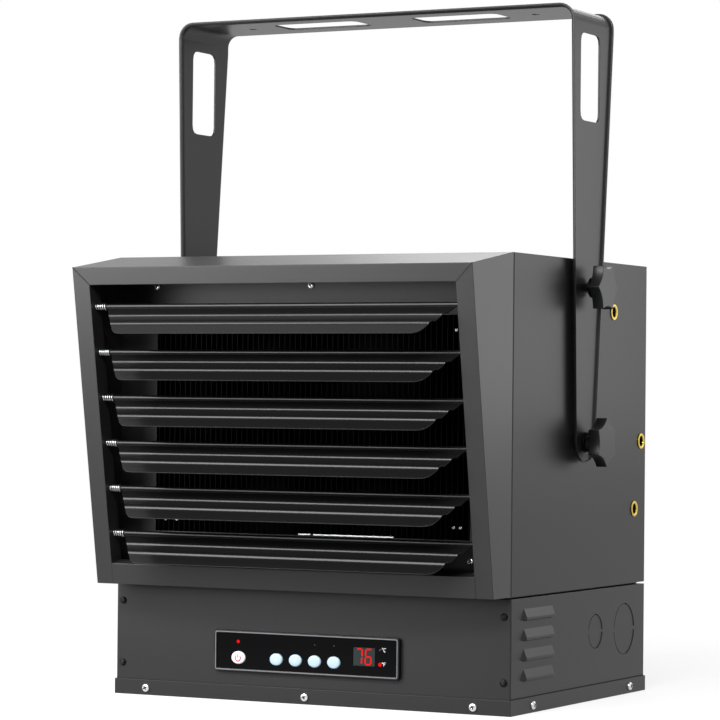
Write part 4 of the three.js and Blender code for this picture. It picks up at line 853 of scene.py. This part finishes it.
@dataclass
class ControlPanel:
    """The rim, the buttons with their marks, the lamps and the two lit digits."""

    face: float = -1.5
    half_width: float = 86.5
    foot: float = 24.0
    head: float = 58.6
    corner: float = 3.0
    button_z: float = 35.8
    digit_z: float = 41.8
    buttons: tuple[tuple[str, float, float, float], ...] = (  # name, x, width and height
        ("button_power", -63.4, 13.2, 10.6),
        ("button_warmer", -27.5, 12.0, 10.0),
        ("button_cooler", -9.57, 12.0, 10.0),
        ("button_timer", 8.36, 12.0, 10.0),
        ("button_mode", 26.29, 12.0, 10.0),
    )
    lamps: tuple[tuple[str, float, float, float, Finish], ...] = (  # name, x, z, radius and finish
        ("power_lamp", -63.8, 49.1, 1.4, Finish.LED_LIT),
        ("fahrenheit_lamp", 68.8, 36.1, 1.6, Finish.LED_LIT),
        ("celsius_lamp", 68.7, 47.8, 0.8, Finish.LED_OFF),
        ("timer_lamp", 26.4, 49.2, 0.6, Finish.LED_OFF),
        ("timer_lamp_second", 8.4, 49.2, 0.6, Finish.LED_OFF),
    )
    frame_section: Pairs = (  # inset from the outline, and y
        (0.0, 1.0), (0.0, -2.2), (0.35, -2.65), (0.8, -2.7), (2.0, -2.7), (2.2, -2.5), (2.2, -1.5),
        (3.2, -1.42), (3.2, 1.0),
    )
    line_section: Pairs = ((1.15, -2.6), (1.25, -2.84), (2.1, -2.84), (2.2, -2.6))
    cap_levels: Pairs = (  # share of the cap's size, and y
        (1.0, 0.7), (1.0, -1.9), (0.97, -2.25), (0.88, -2.58), (0.7, -2.78), (0.4, -2.88), (0.1, -2.9),
    )

    def build(self) -> None:
        """Builds everything on the panel."""
        self._loop("rim_frame", self.frame_section, Finish.RIM, "bezel")
        self._loop("rim_line", self.line_section, Finish.RIM_LINE)
        for name, x, width, height in self.buttons:
            self._button(name, x, width, height)
        self._power_mark(self.buttons[0][1])
        self._arrow("warmer_mark", self.buttons[1][1], 1, "button_warmer")
        self._arrow("cooler_mark", self.buttons[2][1], -1, "button_cooler")
        self._digit("tens_digit", 49.4, "abc")
        self._digit("units_digit", 57.9, "acdefg")
        for name, x, z, radius, finish in self.lamps:
            self._lamp(name, x, z, radius, finish)
        self._celsius(72.6, 47.9)
        self._fahrenheit(72.6, 36.1)

    def _outline(self, inset: float) -> list[Pair]:
        """The panel's rounded outline, moved in by ``inset``."""
        x1, z0, z1 = self.half_width - inset, self.foot + inset, self.head - inset
        r = max(self.corner - inset, 0.5)
        turns = ((x1 - r, z0 + r, -90), (x1 - r, z1 - r, 0), (-x1 + r, z1 - r, 90), (-x1 + r, z0 + r, 180))
        return [(cx + r * c, cz + r * s) for cx, cz, start in turns for c, s in arc(start, start + 90, 6)]

    def _loop(self, name: str, section: Sequence[Pair], finish: Finish, *replaced: str) -> None:
        """A loop round the panel with a section of (inset, y) pairs."""
        rings = [[at(x, y, z) for x, z in self._outline(inset)] for inset, y in section]
        ride(rings_skin(name, rings, finish, closed=True), "heater", "panel_rim", *replaced)

    def _button(self, name: str, x: float, width: float, height: float) -> None:
        """One domed oval cap."""
        rings = [
            [at(x + share * width / 2 * c, y, self.button_z + share * height / 2 * s) for c, s in circle(40)]
            for share, y in self.cap_levels
        ]
        power = name == "button_power"
        cap = rings_skin(f"{name}_cap", rings, Finish.WHITE_BUTTON if power else Finish.PALE_BUTTON)
        ride(cap, name, "white_plastic" if power else "pale_blue_plastic", name)

    def _power_mark(self, x: float) -> None:
        """Ring with a gap and a bar, in red."""
        radius, stroke, level = 2.5, 0.42, self.button_z - 0.3
        path = [at(x + radius * s, -2.84, level + radius * c) for c, s in arc(38, 322, 24)]
        ride(wire("power_mark_ring", path, stroke, Finish.RED_MARK), "button_power", "white_plastic")
        bar = [at(x, -2.86, self.button_z + rise) for rise in (0.0, 1.4, 2.9)]
        ride(wire("power_mark_bar", bar, stroke, Finish.RED_MARK), "button_power", "white_plastic")

    def _arrow(self, name: str, x: float, way: int, body: str) -> None:
        """A small pale triangle that points up or down."""
        base, tip = self.button_z - way * 1.1, self.button_z + way * 1.7
        outline = [(x - 1.7, base), (x + 1.7, base), (x, tip)]
        ride(slab(name, outline, -2.97, -2.8, Finish.PALE_MARK), body, "pale_blue_plastic")

    def _digit(self, name: str, x: float, lit: str) -> None:
        """Lit bars of one seven segment digit, slanted a little."""
        half, tall, bar, gap, slant = 2.6, 6.2, 0.6, 0.25, 0.07
        ends = dict(a="TL TR", b="TR MR", c="MR BR", d="BL BR", e="ML BL", f="TL ML", g="ML MR")
        heights, sides = {"T": tall, "M": 0.0, "B": -tall}, {"L": -half, "R": half}
        for segment in lit:
            a, b = (Vector((sides[end[1]], heights[end[0]])) for end in ends[segment].split())
            along = (b - a).normalized()
            across = Vector((-along.y, along.x)) * bar
            a, b = a + along * gap, b - along * gap
            start, end = a + along * bar, b - along * bar
            corners = [a, start + across, end + across, b, end - across, start - across]
            outline = [(x + c.x + c.y * slant, self.digit_z + c.y) for c in corners]
            segment_bar = slab(f"{name}_{segment}", outline, -1.42, -1.2, Finish.SEGMENT_LIT)
            ride(segment_bar, "heater", "display_red")

    def _lamp(self, name: str, x: float, z: float, radius: float, finish: Finish) -> None:
        """A small domed lamp lens."""
        profile = [(radius, -0.2), (radius, 0.15), (radius * 0.75, 0.4), (radius * 0.3, 0.52), (0.03, 0.55)]
        lens = turned(name, profile, (x, self.face, z), FRONTWARD, finish, 20)
        ride(lens, "heater", "display_red")

    def _ink(self, name: str, path: Iterable[Pair], stroke: float = 0.22, closed: bool = False) -> None:
        """A thin white stroke through (x, z) places of the face."""
        places = [at(x, self.face - 0.04, z) for x, z in path]
        ride(wire(name, places, stroke, Finish.PANEL_INK, closed), "heater", "gloss_black")

    def _degree(self, name: str, x: float, z: float) -> None:
        """The small ring ahead of a unit letter."""
        ring = [(x - 1.5 + 0.45 * c, z + 1.3 + 0.45 * s) for c, s in circle(12)]
        self._ink(f"{name}_degree", ring, 0.16, closed=True)

    def _celsius(self, x: float, z: float) -> None:
        """A degree ring and a C."""
        self._degree("celsius_mark", x, z)
        bow = [(x + 0.55 + 1.15 * c, z + 0.1 + 1.5 * s) for c, s in arc(50, 310, 16)]
        self._ink("celsius_mark", bow)

    def _fahrenheit(self, x: float, z: float) -> None:
        """A degree ring and an F."""
        self._degree("fahrenheit_mark", x, z)
        strokes = {
            "stem": ((-0.4, -1.4), (-0.4, 1.6)),
            "head": ((-0.4, 1.6), (1.5, 1.6)),
            "arm": ((-0.4, 0.2), (1.1, 0.2)),
        }
        for part, ends in strokes.items():
            self._ink(f"fahrenheit_mark_{part}", [(x + dx, z + dz) for dx, dz in ends])


@dataclass
class StarKnob:
    """One six lobed knob with its hub, bolt and a face painted lighter than its sides, as painted light.

    Distances along its axis are measured from the heater's middle.
    """

    label: str  # its body
    side: int  # 1 for the right side, -1 for the left
    z: float  # height of its axis
    seat: float  # to the hub's face
    end: float  # to the bolt's end
    phase: float  # turn of the lobes in degrees
    tip: float = 21.0
    root: float = 15.6
    lobes: int = 6
    lobe_steps: int = 16
    face: float = 207.0
    thickness: float = 9.5
    hub: float = 9.0
    round_edge: float = 0.5
    thread: float = 3.7
    thread_root: float = 3.25
    crest: float = 0.625  # half the thread's pitch

    def build(self) -> None:
        """Builds the star, the hub and the bolt."""
        back = self.face - self.thickness
        self._star(back)
        hub = ((3.9, self.seat), (self.hub - 0.5, self.seat), (self.hub, self.seat + 0.5))
        rings = [self._ring(r / self.tip, 0.0, x) for r, x in (*hub, (self.hub + 0.8, back + 0.4))]
        piece = rings_skin(f"{self.label}_hub", rings, Finish.KNOB, crease=30.0)
        ride(piece, self.label, "black_plastic")
        self._bolt()

    def _outline(self, shrink: float) -> list[Pair]:
        """The pointed star outline, moved in by ``shrink``."""
        step, turn = 2 * math.pi / self.lobes, math.radians(self.phase)
        dip = (self.tip * math.cos(step / 2) - self.root) * 4
        points = []
        for lobe in range(self.lobes):
            a0, a1, mid = (turn + (lobe + share) * step for share in (0, 1, 0.5))
            for k in range(self.lobe_steps):
                t = 0.035 + 0.93 * k / (self.lobe_steps - 1)  # short of the points, which are blunt
                fall = dip * t * (1 - t)
                y = self.tip * ((1 - t) * math.cos(a0) + t * math.cos(a1)) - fall * math.cos(mid)
                z = self.tip * ((1 - t) * math.sin(a0) + t * math.sin(a1)) - fall * math.sin(mid)
                scale = 1 - shrink / math.hypot(y, z)
                points.append((y * scale, z * scale))
        return points

    def _ring(self, scale: float, shrink: float, x: float) -> list[Vector]:
        """The outline at a distance from the heater's middle."""
        outline = self._outline(shrink)
        return [at(self.side * x, TILT_Y + dy * scale, self.z + dz * scale) for dy, dz in outline]

    def _star(self, back: float) -> None:
        """The star, with its outer face painted lighter than its sides as painted light."""
        e, face = self.round_edge, self.face
        levels = (
            (e, back), (e * 0.3, back + e * 0.3), (0.0, back + e), (0.0, face - e),
            (e * 0.3, face - e * 0.3), (e, face), (e * 3, face), (e * 6, face),
        )
        rings = [self._ring(1.0, shrink, x) for shrink, x in levels]
        star = rings_skin(f"{self.label}_star", rings, Finish.KNOB, crease=24.0)
        # Painted light: the outer face gets the lighter copy of the knob plastic.
        star.data.materials.append(Finish.KNOB_FACE.material())
        for polygon in star.data.polygons:
            if abs(polygon.normal.x) > 0.98 and abs(polygon.center.x) > (face - 1.0) / 1000.0:
                polygon.material_index = 1
        ride(star, self.label, "black_plastic", self.label)

    def _bolt(self) -> None:
        """The threaded bolt, with a blunt end."""
        profile = [(0.3, self.end), (3.2, self.end), (self.thread, self.end + 0.5)]
        for k in range(int(max(self.seat - self.end - 1.0, 0) / self.crest)):
            profile.append((self.thread if k % 2 else self.thread_root, self.end + 0.8 + k * self.crest))
        profile.append((self.thread, self.seat + 0.5))
        middle, axis = (0.0, TILT_Y, self.z), (float(self.side), 0.0, 0.0)
        bolt = turned(f"{self.label}_bolt", profile, middle, axis, Finish.BLACK_SCREW, 24)
        ride(bolt, self.label, "plated_steel")


@dataclass
class Knobs:
    """The four star knobs, each given by its height, seat, bolt end and phase."""

    pivot: tuple[float, float, float, float] = (TILT_Z, 189.9, 176.0, 30)
    lock: tuple[float, float, float, float] = (TILT_Z + LOCK_RADIUS, 193.4, 185.1, 0)

    def build(self) -> None:
        """Builds the pivot and lock knobs on both sides."""
        for label, side in SIDES:
            StarKnob(f"pivot_knob_{label}", side, *self.pivot).build()
            StarKnob(f"lock_knob_{label}", side, *self.lock).build()


@dataclass
class Inserts:
    """Threaded inserts in the cabinet's sides: a round flange and a threaded bore."""

    flange: float = 6.75
    barrel: float = 5.3
    bore: float = 4.0
    length: float = 13.0
    depth: float = 0.8
    proud: float = 0.3
    crest: float = 0.62  # half the thread's pitch
    crest_depth: float = 0.45
    angles: tuple[int, ...] = (0, 31, 90, 117)
    sides: int = 40

    def build(self) -> None:
        """Builds every insert on both sides."""
        places = [("pivot", TILT_Y, TILT_Z)]
        for i, degrees in enumerate(self.angles):
            a = math.radians(degrees)
            y, z = TILT_Y + LOCK_RADIUS * math.sin(a), TILT_Z + LOCK_RADIUS * math.cos(a)
            places.append((f"lock_{i + 1}", y, z))
        for label, side in SIDES:
            for kind, y, z in places:
                self._one(f"insert_{label}_{kind}", side, y, z)

    def _section(self) -> list[Pair]:
        """(radius, height) round one side of the insert, with thread crests in its bore."""
        r, t, n = self.bore, self.depth, self.length
        loop = [(self.barrel, -n), (self.barrel, 0.0), (self.flange, 0.0), (self.flange, t * 0.6)]
        loop += [(self.flange - 0.35, t), (r + 1.2, t), (r + 0.5, t - 0.5)]
        for k in range(int((n - 0.6) / self.crest)):
            loop.append((r + (0.0 if k % 2 else self.crest_depth), t - 0.8 - k * self.crest))
        return [*loop, (r, -n)]

    def _one(self, node: str, side: int, y: float, z: float) -> None:
        """One insert, as a closed turned ring whose bore is painted darker than its flange as painted shade.
        """
        section = self._section()
        turn = Vector((0, 0, 1)).rotation_difference(Vector((side, 0, 0))).to_matrix()
        middle = at(side * (HALF + self.proud), y, z)
        rings = [
            [middle + turn @ (Vector((q * c, q * s, h)) / 1000.0) for q, h in section]
            for c, s in circle(self.sides)
        ]
        ring = rings_skin(f"{node}_ring", rings, Finish.YELLOW_ZINC, closed=True)
        ring.data.materials.append(Finish.INSERT_BORE.material())
        for polygon in ring.data.polygons:
            offset = polygon.center - middle
            if offset.dot(turn @ Vector((0, 0, 1000.0))) < self.depth - 0.9 and offset.length < 0.006:
                polygon.material_index = 1
        ride(ring, "heater", "brass", node)


@dataclass(frozen=True)
class Softbox:
    """An area lamp aimed at a point of the heater; its size is in metres, its power in watts."""

    name: str
    place: Point
    aim: Point
    size: Pair
    power: float

    def build(self) -> None:
        """Hangs the lamp."""
        light = bpy.data.lights.new(self.name, "AREA")
        light.shape = "RECTANGLE"
        light.size, light.size_y = self.size
        light.energy = self.power
        lamp = bpy.data.objects.new(self.name, light)
        lamp.location = at(*self.place)
        aim = at(*self.aim) - at(*self.place)
        lamp.rotation_euler = aim.to_track_quat("-Z", "Y").to_euler()
        bpy.context.scene.collection.objects.link(lamp)


@dataclass
class Studio:
    """White floor that fades into a white background, soft lamps and the camera."""

    camera_place: Point = (1228.6, -2264.1, 250.3)
    forward: Point = (-0.46267, 0.88645, 0.01299)
    up: Point = (-0.0028, -0.0161, 0.99987)
    lens: float = 156.4
    sensor: float = 36.0
    fill: float = 0.1  # the world's share in diffuse light
    floor_radius: float = 0.8  # metres, as are the next two
    fade_start: float = 0.3
    fade_end: float = 0.75
    floor_glow: float = 0.8
    floor_colour: str = "8c8c8c"
    lamps: tuple[Softbox, ...] = (
        Softbox("front_near_softbox", (-570, -800, 410), (-40, -50, 280), (0.7, 0.5), 11.0),
        Softbox("side_rear_softbox", (560, 600, 430), (184, 60, 280), (0.45, 0.45), 0.9),
        Softbox("rear_top_softbox", (-300, 1500, 1400), (0, 100, 370), (1.0, 1.0), 8.0),
        Softbox("strip_high", (200, -1500, 1300), (0, -60, 230), (1.6, 0.12), 24.0),
        Softbox("strip_front_top", (-150, -900, 850), (0, -60, 230), (1.5, 0.3), 22.0),
    )

    def build(self) -> None:
        """Builds the world, the floor, the lamps and the camera."""
        self._world()
        self._floor()
        for lamp in self.lamps:
            lamp.build()
        self._camera()

    @staticmethod
    def _any(tree: Tree, *kinds: str) -> Socket:
        """One for a ray of any of these kinds, else zero."""
        rays = put(tree, "ShaderNodeLightPath").outputs
        seen = rays[kinds[0]]
        for kind in kinds[1:]:
            seen = put(tree, "ShaderNodeMath", {0: seen, 1: rays[kind]}, operation="MAXIMUM").outputs[0]
        return seen

    def _world(self) -> None:
        """A white background for the camera and for reflections, softer for the fill light."""
        world = bpy.data.worlds.new("studio_white")
        bpy.context.scene.world = world
        world.use_nodes = True
        tree = world.node_tree
        tree.nodes.clear()
        seen = self._any(tree, "Is Camera Ray", "Is Glossy Ray", "Is Transmission Ray")
        level = put(tree, "ShaderNodeMapRange", {"Value": seen, "To Min": self.fill, "To Max": 1.0})
        inputs = {"Color": (1, 1, 1, 1), "Strength": level.outputs["Result"]}
        light = put(tree, "ShaderNodeBackground", inputs)
        put(tree, "ShaderNodeOutputWorld", {"Surface": light.outputs["Background"]})

    def _floor_material(self) -> Material:
        """Pale and faintly lit in the middle, clear toward the rim."""
        material, tree = new_tree("pale_studio_floor")
        place = put(tree, "ShaderNodeTexCoord").outputs["Object"]
        reach = put(tree, "ShaderNodeVectorMath", {0: place}, operation="LENGTH").outputs["Value"]
        span = {"Value": reach, "From Min": self.fade_start, "From Max": self.fade_end}
        fade = put(tree, "ShaderNodeMapRange", span).outputs["Result"]
        seen = self._any(tree, "Is Camera Ray", "Is Glossy Ray")
        level = put(tree, "ShaderNodeMath", {0: seen, 1: self.floor_glow}, operation="MULTIPLY")
        matt = put(tree, "ShaderNodeBsdfDiffuse", {"Color": linear(self.floor_colour)})
        pale = put(tree, "ShaderNodeEmission", {"Strength": level.outputs[0]})
        lit = put(tree, "ShaderNodeAddShader", {0: matt.outputs[0], 1: pale.outputs[0]})
        clear = put(tree, "ShaderNodeBsdfTransparent")
        inputs = {"Fac": fade, 1: lit.outputs[0], 2: clear.outputs[0]}
        close(tree, put(tree, "ShaderNodeMixShader", inputs).outputs[0])
        return material

    def _floor(self) -> None:
        """A pale floor just under the base."""
        mesh = bpy.data.meshes.new("floor")
        corners = [(self.floor_radius * c, self.floor_radius * s, 0) for c, s in circle(64)]
        mesh.from_pydata(corners, [], [list(range(len(corners)))])
        mesh.materials.append(self._floor_material())
        floor = bpy.data.objects.new("floor", mesh)
        floor.location = at(0, 140, -0.3)
        bpy.context.scene.collection.objects.link(floor)

    def _camera(self) -> None:
        """The camera at the photograph's place and length."""
        data = bpy.data.cameras.new("photo_camera")
        data.lens = self.lens
        data.sensor_width = self.sensor
        data.clip_start = 0.1
        camera = bpy.data.objects.new("photo_camera", data)
        forward, up = Vector(self.forward).normalized(), Vector(self.up)
        right = forward.cross(up).normalized()
        up = right.cross(forward).normalized()
        turn = Matrix((right, up, -forward)).transposed().to_4x4()
        camera.matrix_world = Matrix.Translation(at(*self.camera_place)) @ turn
        bpy.context.scene.collection.objects.link(camera)
        bpy.context.scene.camera = camera


def main() -> None:
    """Builds the studio and every sub-assembly, in order."""
    logging.basicConfig(level=logging.INFO, format="%(name)s: %(message)s")
    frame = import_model()
    bpy.context.scene.view_settings.view_transform = "Standard"
    Studio().build()
    CoatedNodes(frame["nodes"]).dress()
    Cabinet().build()
    LouvreBank().build()
    FanGuard().build()
    ControlBox().build()
    ControlPanel().build()
    Knobs().build()
    Inserts().build()


if __name__ == "__main__":
    main()
